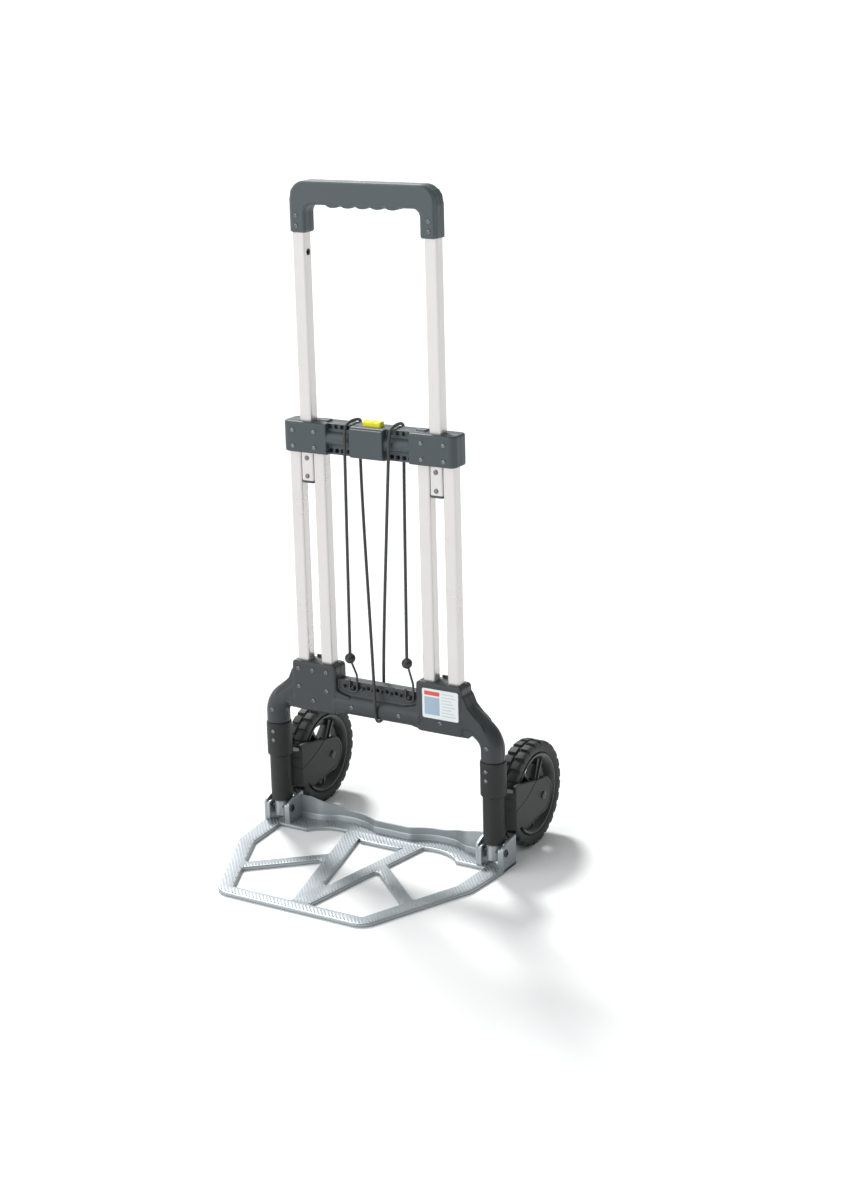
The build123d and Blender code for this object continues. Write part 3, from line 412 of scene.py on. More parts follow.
@dataclass
class Draft:
    """A mesh being drawn in millimetres."""

    points: list[Point3] = field(default_factory=list)
    faces: list[tuple[int, ...]] = field(default_factory=list)

    def loft(self, rings: Sequence[Sequence[Point3]], capped: bool = True,
             looped: bool = False) -> "Draft":
        """Join rings of equally many points.

        Args:
            rings: Closed rings in order.
            capped: Close the first and last ring with a face.
            looped: Join the last ring to the first.

        Returns:
            This draft.
        """
        base, count = len(self.points), len(rings[0])
        for ring in rings:
            self.points.extend(ring)
        for row in range(len(rings) - (0 if looped else 1)):
            low, high = base + row * count, base + (row + 1) % len(rings) * count
            for i in range(count):
                j = (i + 1) % count
                self.faces.append((low + i, low + j, high + j, high + i))
        if capped and not looped:
            self.faces.append(tuple(base + i for i in reversed(range(count))))
            self.faces.append(tuple(base + (len(rings) - 1) * count + i for i in range(count)))
        return self

    def plate(self, outline: Sequence[Point2], layers: Sequence[Layer], place: Placing,
              holes: Sequence[Sequence[Point2]] = ()) -> "Draft":
        """Stack copies of an outline, each drawn in by its own amount.

        Args:
            outline: Outer loop.
            layers: Inset and height of each copy, from one face to the other.
            place: Turns (u, v, height) into a point.
            holes: Loops that are left open.

        Returns:
            This draft.
        """
        loops = [list(outline) if area(outline) > 0 else list(outline)[::-1]]
        loops += [list(hole) if area(hole) < 0 else list(hole)[::-1] for hole in holes]
        starts = []
        for loop in loops:
            starts.append(len(self.points))
            rings = [[place(u, v, height) for u, v in inset(loop, amount)]
                     for amount, height in layers]
            self.loft(rings, capped=False)
        for row in (0, len(layers) - 1):
            flat = [[Vector((*p, 0.0)) for p in inset(loop, layers[row][0])] for loop in loops]
            index = [start + row * len(loop) + i for start, loop in zip(starts, loops)
                     for i in range(len(loop))]
            for triangle in tessellate_polygon(flat):
                self.faces.append(tuple(index[i] for i in triangle))
        return self

    def turned(self, profile: Sequence[Point2], centre: Point3, axis: str = "X",
               segments: int = 40) -> "Draft":
        """Turn a profile of (radius, distance along the axis) about an axis.

        Args:
            profile: Points from one end to the other; a radius of zero closes an end.
            centre: A point on the axis.
            axis: X, Y or Z.
            segments: Sides of each ring.

        Returns:
            This draft.
        """
        cx, cy, cz = centre
        rings = []
        for radius, along in profile:
            radius = max(radius, 0.01)
            ring = []
            for step in range(segments):
                c, s = (radius * f(math.tau * step / segments) for f in (math.cos, math.sin))
                ring.append({"X": (cx + along, cy + c, cz + s), "Y": (cx + c, cy + along, cz + s),
                             "Z": (cx + c, cy + s, cz + along)}[axis])
            rings.append(ring)
        return self.loft(rings)

    def swept(self, path: Sequence[Point3], radius: float, sides: int = 12) -> "Draft":
        """Draw a round bar along a path.

        Args:
            path: Points along its middle.
            radius: Radius of the bar.
            sides: Sides of each ring.

        Returns:
            This draft.
        """
        line = [Vector(p) for p in path]
        side = (line[1] - line[0]).orthogonal().normalized()
        rings = []
        for index, at in enumerate(line):
            ahead = (line[min(index + 1, len(line) - 1)] - line[max(index - 1, 0)]).normalized()
            side = (side - ahead * side.dot(ahead)).normalized()
            across = ahead.cross(side)
            rings.append([tuple(at + radius * (side * math.cos(t) + across * math.sin(t)))
                          for t in (math.tau * step / sides for step in range(sides))])
        return self.loft(rings)

    def mesh(self, name: str) -> bpy.types.Mesh:
        """Give the drawn mesh in metres, with its faces turned outwards."""
        made = bpy.data.meshes.new(name)
        made.from_pydata([(x * MM, y * MM, z * MM) for x, y, z in self.points], [], self.faces)
        work = bmesh.new()
        work.from_mesh(made)
        bmesh.ops.remove_doubles(work, verts=work.verts, dist=1e-7)
        bmesh.ops.dissolve_degenerate(work, edges=work.edges, dist=1e-8)
        bmesh.ops.recalc_face_normals(work, faces=work.faces)
        work.to_mesh(made)
        work.free()
        return made

    def piece(self, name: str, body: str, finish: Finish, replaces: Sequence[str] = (),
              crease: float = 38.0) -> bpy.types.Object:
        """Make the drawn piece and fix it to its body.

        Args:
            name: Name of the piece.
            body: The frame's body that it rides on.
            finish: Its surface.
            replaces: Nodes of the frame that it stands for.
            crease: Edges sharper than this angle, in degrees, stay sharp.

        Returns:
            The new object.
        """
        return settle(linked(name, self.mesh(name)), body, finish, replaces, crease)


def settle(piece: bpy.types.Object, body: str, finish: Finish, replaces: Sequence[str] = (),
           crease: float = 38.0) -> bpy.types.Object:
    """Shade a piece, give it its finish and fix it to its body.

    Args:
        piece: The object.
        body: The frame's body that it rides on.
        finish: Its surface.
        replaces: Nodes of the frame that it stands for.
        crease: Edges sharper than this angle, in degrees, stay sharp.

    Returns:
        The same object.
    """
    if piece.type == "MESH":
        piece.data.polygons.foreach_set("use_smooth", [True] * len(piece.data.polygons))
        piece.data.set_sharp_from_angle(angle=math.radians(crease))
    piece.data.materials.clear()
    piece.data.materials.append(finish.material())
    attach(piece, body)
    if replaces:
        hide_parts(*replaces)
    LOG.info("%s rides on %s", piece.name, body)
    return piece


def dress(frame: dict, finish: Finish, *names: str) -> None:
    """Give nodes of the frame that stay in sight their finish.

    Args:
        finish: The surface.
        names: The nodes.
    """
    for name in names:
        node = frame["nodes"][name]
        if not node.material_slots:
            node.data.materials.append(None)
        for held in node.material_slots:
            held.link = "OBJECT"
            held.material = finish.material()
        LOG.info("%s keeps its own shape", name)


@dataclass(frozen=True)
class Moulding:
    """A moulded piece: the frame's own solid with small details, and its edges softened.

    Attributes:
        node: The solid in the frame.
        body: The body it rides on.
        voxel: Cell of the new mesh, in millimetres.
        passes: Smoothing passes.
        finish: Its surface.
    """

    node: str
    body: str
    finish: Finish
    voxel: float = 1.0
    passes: int = 3

    def build(self, frame: dict, details: Draft | None = None) -> bpy.types.Object:
        """Make the piece.

        Args:
            details: Closed shapes that are melted into the solid.

        Returns:
            The new object.
        """
        work = bmesh.new()
        work.from_mesh(frame["nodes"][self.node].data)
        if details is not None:
            extra = details.mesh("details")
            work.from_mesh(extra)
            bpy.data.meshes.remove(extra)
        rough = bpy.data.meshes.new(f"{self.node}_rough")
        work.to_mesh(rough)
        work.free()
        shaped = linked(f"{self.node}_rough", rough)
        remesh = shaped.modifiers.new("remesh", "REMESH")
        remesh.mode = "VOXEL"
        remesh.voxel_size = self.voxel * MM
        soften = shaped.modifiers.new("soften", "SMOOTH")
        soften.factor, soften.iterations = 0.5, self.passes
        graph = bpy.context.evaluated_depsgraph_get()
        mesh = bpy.data.meshes.new_from_object(shaped.evaluated_get(graph))
        bpy.data.objects.remove(shaped)
        made = linked(f"{self.node}_moulded", mesh)
        return settle(made, self.body, self.finish, [self.node], crease=180.0)


def welded(frame: dict, name: str) -> bmesh.types.BMesh:
    """Copy a node's mesh with its split corners joined; the caller frees it."""
    work = bmesh.new()
    work.from_mesh(frame["nodes"][name].data)
    bmesh.ops.remove_doubles(work, verts=work.verts, dist=1e-6)
    return work


def loose_boxes(frame: dict, name: str) -> list[tuple[Vector, Vector]]:
    """Find the separate solids in a node of the frame.

    Args:
        name: The node.

    Returns:
        Lowest and highest corner of each solid, in millimetres.
    """
    work = welded(frame, name)
    left, boxes = set(work.verts), []
    while left:
        queue = [left.pop()]
        group = list(queue)
        while queue:
            for edge in queue.pop().link_edges:
                for vert in edge.verts:
                    if vert in left:
                        left.discard(vert)
                        queue.append(vert)
                        group.append(vert)
        spots = np.array([v.co for v in group]) / MM
        boxes.append((Vector(spots.min(0)), Vector(spots.max(0))))
    work.free()
    return sorted(boxes, key=lambda box: tuple(box[0]))


def face_loops(frame: dict, name: str, level: float) -> list[list[Point2]]:
    """Trace the outlines of a node's flat face at one height.

    Args:
        name: The node.
        level: Height of the face, in millimetres.

    Returns:
        Loops of x and y in millimetres, the one with the largest area first.
    """
    work = welded(frame, name)
    flat = {face for face in work.faces
            if all(abs(v.co.z / MM - level) < 0.01 for v in face.verts)}
    ahead: dict[int, list] = {}
    for face in flat:
        for edge in face.edges:
            if sum(other in flat for other in edge.link_faces) == 1:
                for a, b in (edge.verts, reversed(edge.verts)):
                    ahead.setdefault(a.index, []).append(b)
    loops, used = [], set()
    work.verts.ensure_lookup_table()
    for start in sorted(ahead):
        if start in used:
            continue
        loop, at, before = [], work.verts[start], None
        while at.index not in used:
            used.add(at.index)
            loop.append((at.co.x / MM, at.co.y / MM))
            following = [v for v in ahead[at.index] if v is not before and v.index not in used]
            before = at
            if not following:
                break
            at = following[0]
        loops.append(loop)
    work.free()
    return sorted((l for l in loops if len(l) > 2), key=lambda l: -abs(area(l)))


@dataclass(frozen=True)
class Measures:
    """Places that several sub-assemblies share, in millimetres, read from the frame."""

    leg_x: float
    leg_y: float
    hinge_y: float
    hinge_z: float
    axle_y: float
    wheel_radius: float

    @classmethod
    def read(cls) -> "Measures":
        """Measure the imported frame."""
        leg, pin, tyre = (box_mm(f"{name}_right") for name in ("leg_tube", "hinge_pin", "wheel_tyre"))
        leg_mid, pin_mid, tyre_mid = (box.mean(axis=0) for box in (leg, pin, tyre))
        return cls(leg_mid[0], leg_mid[1], pin_mid[1], pin_mid[2], tyre_mid[1], tyre_mid[2])


def box_mm(node: str) -> np.ndarray:
    """Lowest and highest corner of a node of the frame, in millimetres."""
    return np.array([list(corner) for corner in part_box(node)]) / MM


# ---- sub-assemblies ------------------------------------------------------------------------
@dataclass(frozen=True)
class Fasteners:
    """A group of domed heads on faces that look to the load."""

    node: str
    body: str
    style: HeadStyle
    head_height: float = 1.5
    recess: float = 0.42

    def build(self, frame: dict) -> None:
        """Draw a head over each of the node's fasteners.
        """
        draft = Draft()
        for low, high in loose_boxes(frame, self.node):
            radius, height = (high.x - low.x) / 2, self.head_height
            dome = [(0, height + 0.8), (radius, height + 0.8), (radius, height * 0.9),
                    (radius * 0.93, height * 0.5), (radius * 0.78, height * 0.2),
                    (radius * 0.55, height * 0.05)]
            if self.style is HeadStyle.SCREW:
                dome += [(radius * self.recess, 0.02), (radius * self.recess * 0.9, height * 0.8),
                         (0, height * 0.85)]
            else:
                dome += [(radius * 0.3, 0.01), (0, 0.0)]
            centre = ((low.x + high.x) / 2, low.y, (low.z + high.z) / 2)
            draft.turned(dome, centre, "Y", segments=24)
        draft.piece(f"{self.node}_heads", self.body, SCREW_STEEL, [self.node])


@dataclass(frozen=True)
class Grip:
    """The sliding handle: a moulded grip on two tubes, with their guide shoes."""

    voxel: float = 0.9
    body: str = "handle"

    def build(self, frame: dict) -> None:
        """Make the handle.
        """
        for half in ("grip_front", "grip_rear"):
            Moulding(half, self.body, GRIP_PLASTIC, self.voxel, passes=4).build(
                frame, self._side_walls(half))
        Fasteners("grip_screws", self.body, HeadStyle.SCREW).build(frame)
        Fasteners("guide_rivets", self.body, HeadStyle.RIVET).build(frame)
        for side in Side:
            dress(frame, TUBE_ALUMINIUM, f"handle_tube_{side.word}")
            dress(frame, BAR_PLASTIC, f"guide_shoe_{side.word}")

    @staticmethod
    def _side_walls(half: str) -> Draft:
        """Draw the thin walls of one half that close the grip outside its tubes.

        Args:
            half: The half that they belong to.

        Returns:
            One closed plate for each tube.
        """
        low, high = box_mm(half)
        split = high[1] if half.endswith("front") else low[1]
        depth, proud, inward = high[1] - low[1] - 2.6, 2.3, 7.0
        place = facing_load(split) if half.endswith("front") else facing_back(split)
        draft = Draft()
        for side in Side:
            edge = side.value * (high[0] + proud)
            tube = side.value * (high[0] - inward)
            outline = [(tube, low[2] + 1.0), (edge, low[2] + 1.0), (edge, high[2] - 29.0),
                       (edge - side.value * 2.6, high[2] - 15.0),
                       (edge - side.value * 9.5, high[2] - 7.0), (tube, high[2] - 8.0)]
            draft.plate(outline, [(0.0, -0.4), (0.0, depth - 2.0), (0.8, depth - 0.6),
                                  (2.0, depth)], place)
        return draft


@dataclass(frozen=True)
class MiddleBar:
    """The fixed bar that guides the handle and holds its latch."""

    voxel: float = 0.9
    dimple_x: float = 7.6
    dimple_width: float = 5.2
    dimple_depth: float = 2.0
    body: str = "frame"

    def build(self, frame: dict) -> None:
        """Make the bar, its cover, the button and the latch.
        """
        for half in ("midbar_front_shell", "midbar_rear_shell"):
            Moulding(half, self.body, BAR_PLASTIC, self.voxel).build(frame)
        Moulding("latch_cover", self.body, BAR_PLASTIC, 0.6, passes=4).build(frame)
        Fasteners("midbar_rivets", self.body, HeadStyle.RIVET, 1.7).build(frame)
        dress(frame, SPRING_STEEL, "button_spring")
        for side in Side:
            dress(frame, SCREW_STEEL, f"latch_bolt_{side.word}")
            dress(frame, TUBE_ALUMINIUM, f"frame_tube_inner_{side.word}",
                  f"frame_tube_outer_{side.word}")
        self._button(frame)

    def _button(self, frame: dict) -> None:
        """Make the release button with a dimple for each of two fingers."""
        button = Moulding("release_button", "button", BUTTON_PLASTIC, 0.6).build(frame)
        top, crown = box_mm("release_button")[1][2], 3.0
        for vertex in button.data.vertices:
            x, z = vertex.co.x / MM, vertex.co.z / MM
            if z > top - crown:
                dip = sum(math.exp(-((x - side.value * self.dimple_x) / self.dimple_width) ** 2)
                          for side in Side)
                vertex.co.z -= dip * self.dimple_depth * MM


@dataclass(frozen=True)
class LowerFrame:
    """The lower bar with its blocks, strip, elbows, cross tube and sticker."""

    voxel: float = 1.0
    body: str = "frame"

    def build(self, frame: dict) -> None:
        """Make the lower frame.
        """
        for half in ("lower_frame_front", "lower_frame_rear"):
            Moulding(half, self.body, FRAME_PLASTIC, self.voxel).build(frame, self._webs(half))
        Fasteners("frame_screws", self.body, HeadStyle.SCREW).build(frame)
        Fasteners("collar_rivets", self.body, HeadStyle.RIVET, 1.6).build(frame)
        dress(frame, TUBE_ALUMINIUM, "cross_tube")
        self._sticker()

    @staticmethod
    def _webs(half: str) -> Draft:
        """Draw the webs that let each block flow into its elbow and into the bar.

        Args:
            half: The housing that they belong to.

        Returns:
            Closed plates inside that housing's depth.
        """
        low, high = box_mm(half)
        near, far = (low[1] + 3.0, high[1]) if half.endswith("front") else (low[1], high[1] - 3.0)
        to_elbow = [(150, 226), (196, 226), (188, 240), (176, 250), (165, 262), (159, 276),
                    (150, 288)]
        to_bar = [(78, 214), (78, 258), (70, 251), (60, 248), (50, 246), (50, 220)]
        draft = Draft()
        for side in Side:
            for corners in (to_elbow, to_bar):
                outline = [(side.value * x, z) for x, z in corners]
                draft.plate(outline, [(0.0, 0.0), (0.0, far - near - 1.5), (1.5, far - near)],
                            facing_load(far) if half.endswith("front") else facing_back(near))
        return draft

    def _sticker(self) -> None:
        """Make a plain sticker: a panel, a few stripes and a band, with no lettering."""
        low, high = box_mm("safety_label")
        width, height = high[0] - low[0], high[2] - low[2]
        place = facing_load(high[1])
        film = 0.25

        def patch(left: float, bottom: float, wide: float, tall: float, radius: float,
                  start: float, thick: float, draft: Draft) -> Draft:
            """Add a rounded rectangle at a place on the sticker."""
            x, z = low[0] + left, low[2] + bottom
            corners = [(x, z), (x + wide, z), (x + wide, z + tall), (x, z + tall)]
            layers = [(0.0, start), (0.0, start + thick * 0.6), (0.08, start + thick)]
            return draft.plate(rounded(corners, [radius] * 4), layers, place)

        patch(0, 0, width, height, 3.0, 0.0, film, Draft()).piece(
            "label_sheet", self.body, LABEL_FILM, ["safety_label"])
        patch(4, 6, width * 0.42, height * 0.60, 1.0, film, 0.06, Draft()).piece(
            "label_panel", self.body, INK_BLUE)
        patch(4, height * 0.78, width * 0.42, height * 0.14, 0.8, film, 0.06, Draft()).piece(
            "label_band", self.body, INK_RED)
        stripes = Draft()
        for row in range(8):
            patch(width * 0.54, 6 + row * height * 0.105, width * (0.38 - 0.05 * (row % 3)),
                  height * 0.035, 0.3, film, 0.06, stripes)
        stripes.piece("label_stripes", self.body, INK_GREY)


@dataclass(frozen=True)
class Cord:
    """The elastic cord round both bars, with a knot over each hook. Points are millimetres."""

    diameter: float = 5.0
    length: float = 1830.0
    points: tuple[Point3, ...] = (
        (-46.8, 28.5, 317.5), (-37.5, 19.0, 640.0), (-36.6, 19.0, 680.0), (-36.6, 26.8, 692.0),
        (-38.5, 62.0, 692.0), (-38.5, 72.0, 685.0), (-43.5, 69.5, 634.0), (2.5, 19.5, 268.0),
        (1.8, 19.5, 210.0), (-3.5, 61.5, 210.0), (-8.5, 61.5, 268.0), (40.5, 19.0, 640.0),
        (43.0, 19.0, 680.0), (43.0, 26.8, 692.0), (38.5, 62.0, 692.0), (38.5, 72.0, 685.0),
        (37.0, 69.5, 634.0), (57.6, 28.5, 324.5))
    coil_radius: float = 2.7

    def build(self, frame: dict) -> None:
        """Make the cord, its knots and its hooks.
        """
        knots = [self._knot(side) for side in Side]
        for side in Side:
            dress(frame, HOOK_WIRE, f"cord_hook_{side.word}")
            frame["nodes"][f"cord_hook_{side.word}"]
        curve = bpy.data.curves.new("elastic_cord", "CURVE")
        curve.dimensions = "3D"
        curve.bevel_depth = self.diameter / 2 * MM
        curve.bevel_resolution = 4
        curve.resolution_u = 16
        curve.use_fill_caps = True
        spline = curve.splines.new("NURBS")
        spline.points.add(len(self.points) - 1)
        for point, (x, y, z) in zip(spline.points, self.points):
            point.co = (x * MM, y * MM, z * MM, 1.0)
        spline.order_u = 3
        spline.use_endpoint_u = True
        piece = linked("elastic_cord", curve)
        settle(piece, "frame", ELASTIC_CORD, ["cord"])
        tuple(value * MM for value in self.points[0])

    def _knot(self, side: Side) -> bpy.types.Object:
        """Wind three turns of cord into a knot."""
        low, high = box_mm(f"cord_knot_{side.word}")
        centre = Vector((low + high) / 2)
        turn = (high[0] - low[0]) / 2 - self.coil_radius
        draft = Draft()
        for lean, spin in ((0.25, 0.0), (1.25, 0.6), (-1.05, 1.5)):
            tilt = Matrix.Rotation(spin, 3, "Z") @ Matrix.Rotation(lean, 3, "X")
            ring = [tuple(centre + tilt @ Vector((turn * math.cos(t), turn * math.sin(t), 0)))
                    for t in (math.tau * step / 32 for step in range(33))]
            draft.swept(ring, self.coil_radius)
        return draft.piece(f"knot_{side.word}", "frame", ELASTIC_CORD, [f"cord_knot_{side.word}"])


@dataclass(frozen=True)
class Leg:
    """One leg: its tube, collar, foot and the fork that turns on it."""

    side: Side
    at: Measures
    ridge: float = 1.1
    bead_drop: float = 7.0

    def build(self, frame: dict) -> None:
        """Make the leg and its fork.
        """
        word = self.side.word
        dress(frame, TUBE_ALUMINIUM, f"leg_tube_{word}")
        x = self.side.value * self.at.leg_x
        low, high = box_mm(f"leg_collar_{word}")
        radius = (high[0] - low[0]) / 2
        bead, half_bead, root = high[2] - self.bead_drop, 0.6, radius - 2
        ring = Draft().turned([(root, bead - half_bead), (radius, bead - half_bead),
                               (radius + 0.5, bead), (radius, bead + half_bead),
                               (root, bead + half_bead)],
                              (x, self.at.leg_y, 0), "Z", 64)
        Moulding(f"leg_collar_{word}", "frame", SLEEVE_PLASTIC, 0.8).build(frame, ring)
        self._foot(x)
        self._fork(frame, x)

    def _foot(self, x: float) -> None:
        """Turn the cast foot."""
        low, high = box_mm(f"leg_foot_{self.side.word}")
        outer, shoulder, plug = (high[0] - low[0]) / 2, box_mm("leg_tube_right")[0][2], 11.2
        profile = [(0, low[2]), (outer - 1.2, low[2]), (outer, low[2] + 1.2),
                   (outer, shoulder - 1.0), (outer - 0.8, shoulder - 0.1), (plug, shoulder - 0.1),
                   (plug, high[2]), (0, high[2])]
        Draft().turned(profile, (x, self.at.leg_y, 0), "Z", 48).piece(
            f"foot_{self.side.word}", "frame", CAST_ALUMINIUM, [f"leg_foot_{self.side.word}"])

    def _fork(self, frame: dict, x: float) -> None:
        """Mould the fork, with a raised edge on each cheek and ribs at its root."""
        word = self.side.word
        low, high = box_mm(f"wheel_fork_{word}")
        details = Draft()
        sweep_edge = [(24, 90), (40, 93), (56, 98), (70, 105), (82, 112), (92, 117)]
        border = [(92, 117), (106, 114), (122, 110), (131, 103), (137, 92), (138, 80), (133, 68),
                  (124, 60), (106, 57.5), (80, 53), (54, 50)]
        for face in (low[0], high[0]):
            for line in (sweep_edge, border):
                details.swept([(face, self.at.leg_y + y, z) for y, z in line], self.ridge, 10)
            outward = 1 if face > x else -1
            for z in (92.0, 109.0):
                details.swept([(x + outward * 13, self.at.leg_y + 13, z),
                               (face - outward * 0.5, self.at.leg_y + 20.5, z)], self.ridge, 10)
        Moulding(f"wheel_fork_{word}", f"fork_{word}", SLEEVE_PLASTIC, 0.9).build(frame, details)
        low, high = box_mm(f"wheel_axle_{word}")
        centre = (0, self.at.axle_y, self.at.wheel_radius)
        head, pin, thick = 6.2, 5.0, 3.0
        half = [(0, 0.6), (pin * 0.5, 0.5), (pin * 0.6, 0.0), (head - 1.6, 0.3), (head, 1.6),
                (head, thick), (pin, thick)]
        Draft().turned(both_ends(half, low[0], high[0]), centre, "X", 40).piece(
            f"axle_{word}", f"fork_{word}", BLACKED_STEEL, [f"wheel_axle_{word}"])


@dataclass(frozen=True)
class Wheel:
    """One wheel: a block-tread tyre on a rim with five spokes."""

    side: Side
    at: Measures
    blocks: int = 26
    groove: float = 3.6
    spokes: int = 5
    rim_radius: float = 66.0
    rim_inner: float = 57.0
    hub_radius: float = 15.0
    bore: float = 5.1

    @property
    def centre(self) -> Point3:
        """Middle of the wheel."""
        return (self.side.value * self.at.leg_x, self.at.axle_y, self.at.wheel_radius)

    def build(self) -> None:
        """Make the tyre and the rim."""
        self._tyre()
        self._rim()

    def _tyre(self) -> None:
        """Loft the tyre round the wheel, dipping between the blocks of each row."""
        low, high = box_mm(f"wheel_tyre_{self.side.word}")
        half, top = (high[0] - low[0]) / 2, self.at.wheel_radius
        inner = self.rim_radius + 0.1
        # radius, distance from the middle, share of the groove's depth
        row = [(inner, half - 4.0, 0.0), (inner + 2.5, half - 1.6, 0.0), (top - 11, half - 0.2, 0.0),
               (top - 7.5, half, 0.0), (top - 6.8, half, 0.35), (top - 2.2, half - 1.0, 0.75),
               (top - 0.5, half - 3.2, 1.0), (top, half - 6.0, 1.0), (top, 2.4, 1.0),
               (top - 0.8, 1.6, 0.9)]
        profile = row + [(top - 3.4, 0.9, 0.0), (top - 3.4, -0.9, 0.0)]
        profile += [(radius, -along, share) for radius, along, share in row[::-1]]
        marks = (0.0, 0.05, 0.16, 0.21, 0.35, 0.45, 0.5, 0.55, 0.66, 0.71, 0.85, 0.95)
        block_start, block_end = 0.04, 0.68
        x, y, z = self.centre
        rings = []
        for block in range(self.blocks):
            for mark in marks:
                angle = math.tau * (block + mark) / self.blocks
                ring = []
                for radius, along, share in profile:
                    phase = (mark + (0.0 if along > 0 else 0.5)) % 1.0
                    dip = 0.0 if block_start < phase < block_end else self.groove * share
                    reach = radius - dip
                    ring.append((x + along, y + reach * math.cos(angle), z + reach * math.sin(angle)))
                rings.append(ring)
        draft = Draft().loft(rings, capped=False, looped=True)
        draft.piece(f"tyre_{self.side.word}", f"wheel_{self.side.word}", TYRE_RUBBER,
                    [f"wheel_tyre_{self.side.word}"], crease=30.0)

    def _rim(self) -> None:
        """Loft the rim's barrel and hub and the ribbed spokes between them."""
        low, high = box_mm(f"wheel_rim_{self.side.word}")
        hub_half = (high[0] - low[0]) / 2
        tyre_low, tyre_high = box_mm(f"wheel_tyre_{self.side.word}")
        half = (tyre_high[0] - tyre_low[0]) / 2 - 1.0
        x, y, z = self.centre
        sides, first_spoke = 80, 18
        edge = [(self.rim_radius, half - 2), (self.rim_radius - 1, half - 0.4),
                (self.rim_radius - 2.5, half), (self.rim_radius - 4.5, half - 0.8),
                (self.rim_inner + 1.5, half - 5), (self.rim_inner - 2, half - 10),
                (self.rim_inner - 4, 3.0), (self.rim_inner - 12, 1.6)]
        hub_edge = [(self.bore, hub_half), (self.hub_radius - 4, hub_half),
                    (self.hub_radius - 2.5, hub_half - 1.2), (self.hub_radius, hub_half - 10),
                    (self.hub_radius + 2, 4.0), (self.hub_radius + 9, 1.8)]
        draft = Draft()
        for profile in (mirrored(edge), mirrored(hub_edge)):
            draft.loft([[(x + along, y + radius * math.cos(turn), z + radius * math.sin(turn))
                         for radius, along in profile]
                        for turn in (math.tau * step / sides for step in range(sides))],
                       capped=False, looped=True)
        for index in range(self.spokes):
            turn = math.radians(360 * (index + 0.5) / self.spokes + first_spoke)
            ahead = Vector((0, math.cos(turn), math.sin(turn)))
            across = Vector((0, -math.sin(turn), math.cos(turn)))
            rings = []
            for reach, wide, deep in ((self.hub_radius - 2, 9.0, 13.0), (26, 8.0, 11.0),
                                      (40, 8.0, 9.5), (50, 10.0, 9.0), (self.rim_inner + 2, 15, 9.0)):
                middle = Vector((x, y, z)) + ahead * reach
                section = [(wide, 2.5), (wide - 1, deep - 2), (1.8, deep - 1.2), (1.0, deep + 1.2),
                           (-1.0, deep + 1.2), (-1.8, deep - 1.2), (-wide + 1, deep - 2), (-wide, 2.5)]
                section += [(u, -v) for u, v in section[::-1]]
                rings.append([tuple(middle + across * u + Vector((v, 0, 0))) for u, v in section])
            draft.loft(rings)
        draft.piece(f"rim_{self.side.word}", f"wheel_{self.side.word}", RIM_PLASTIC,
                    [f"wheel_rim_{self.side.word}"])


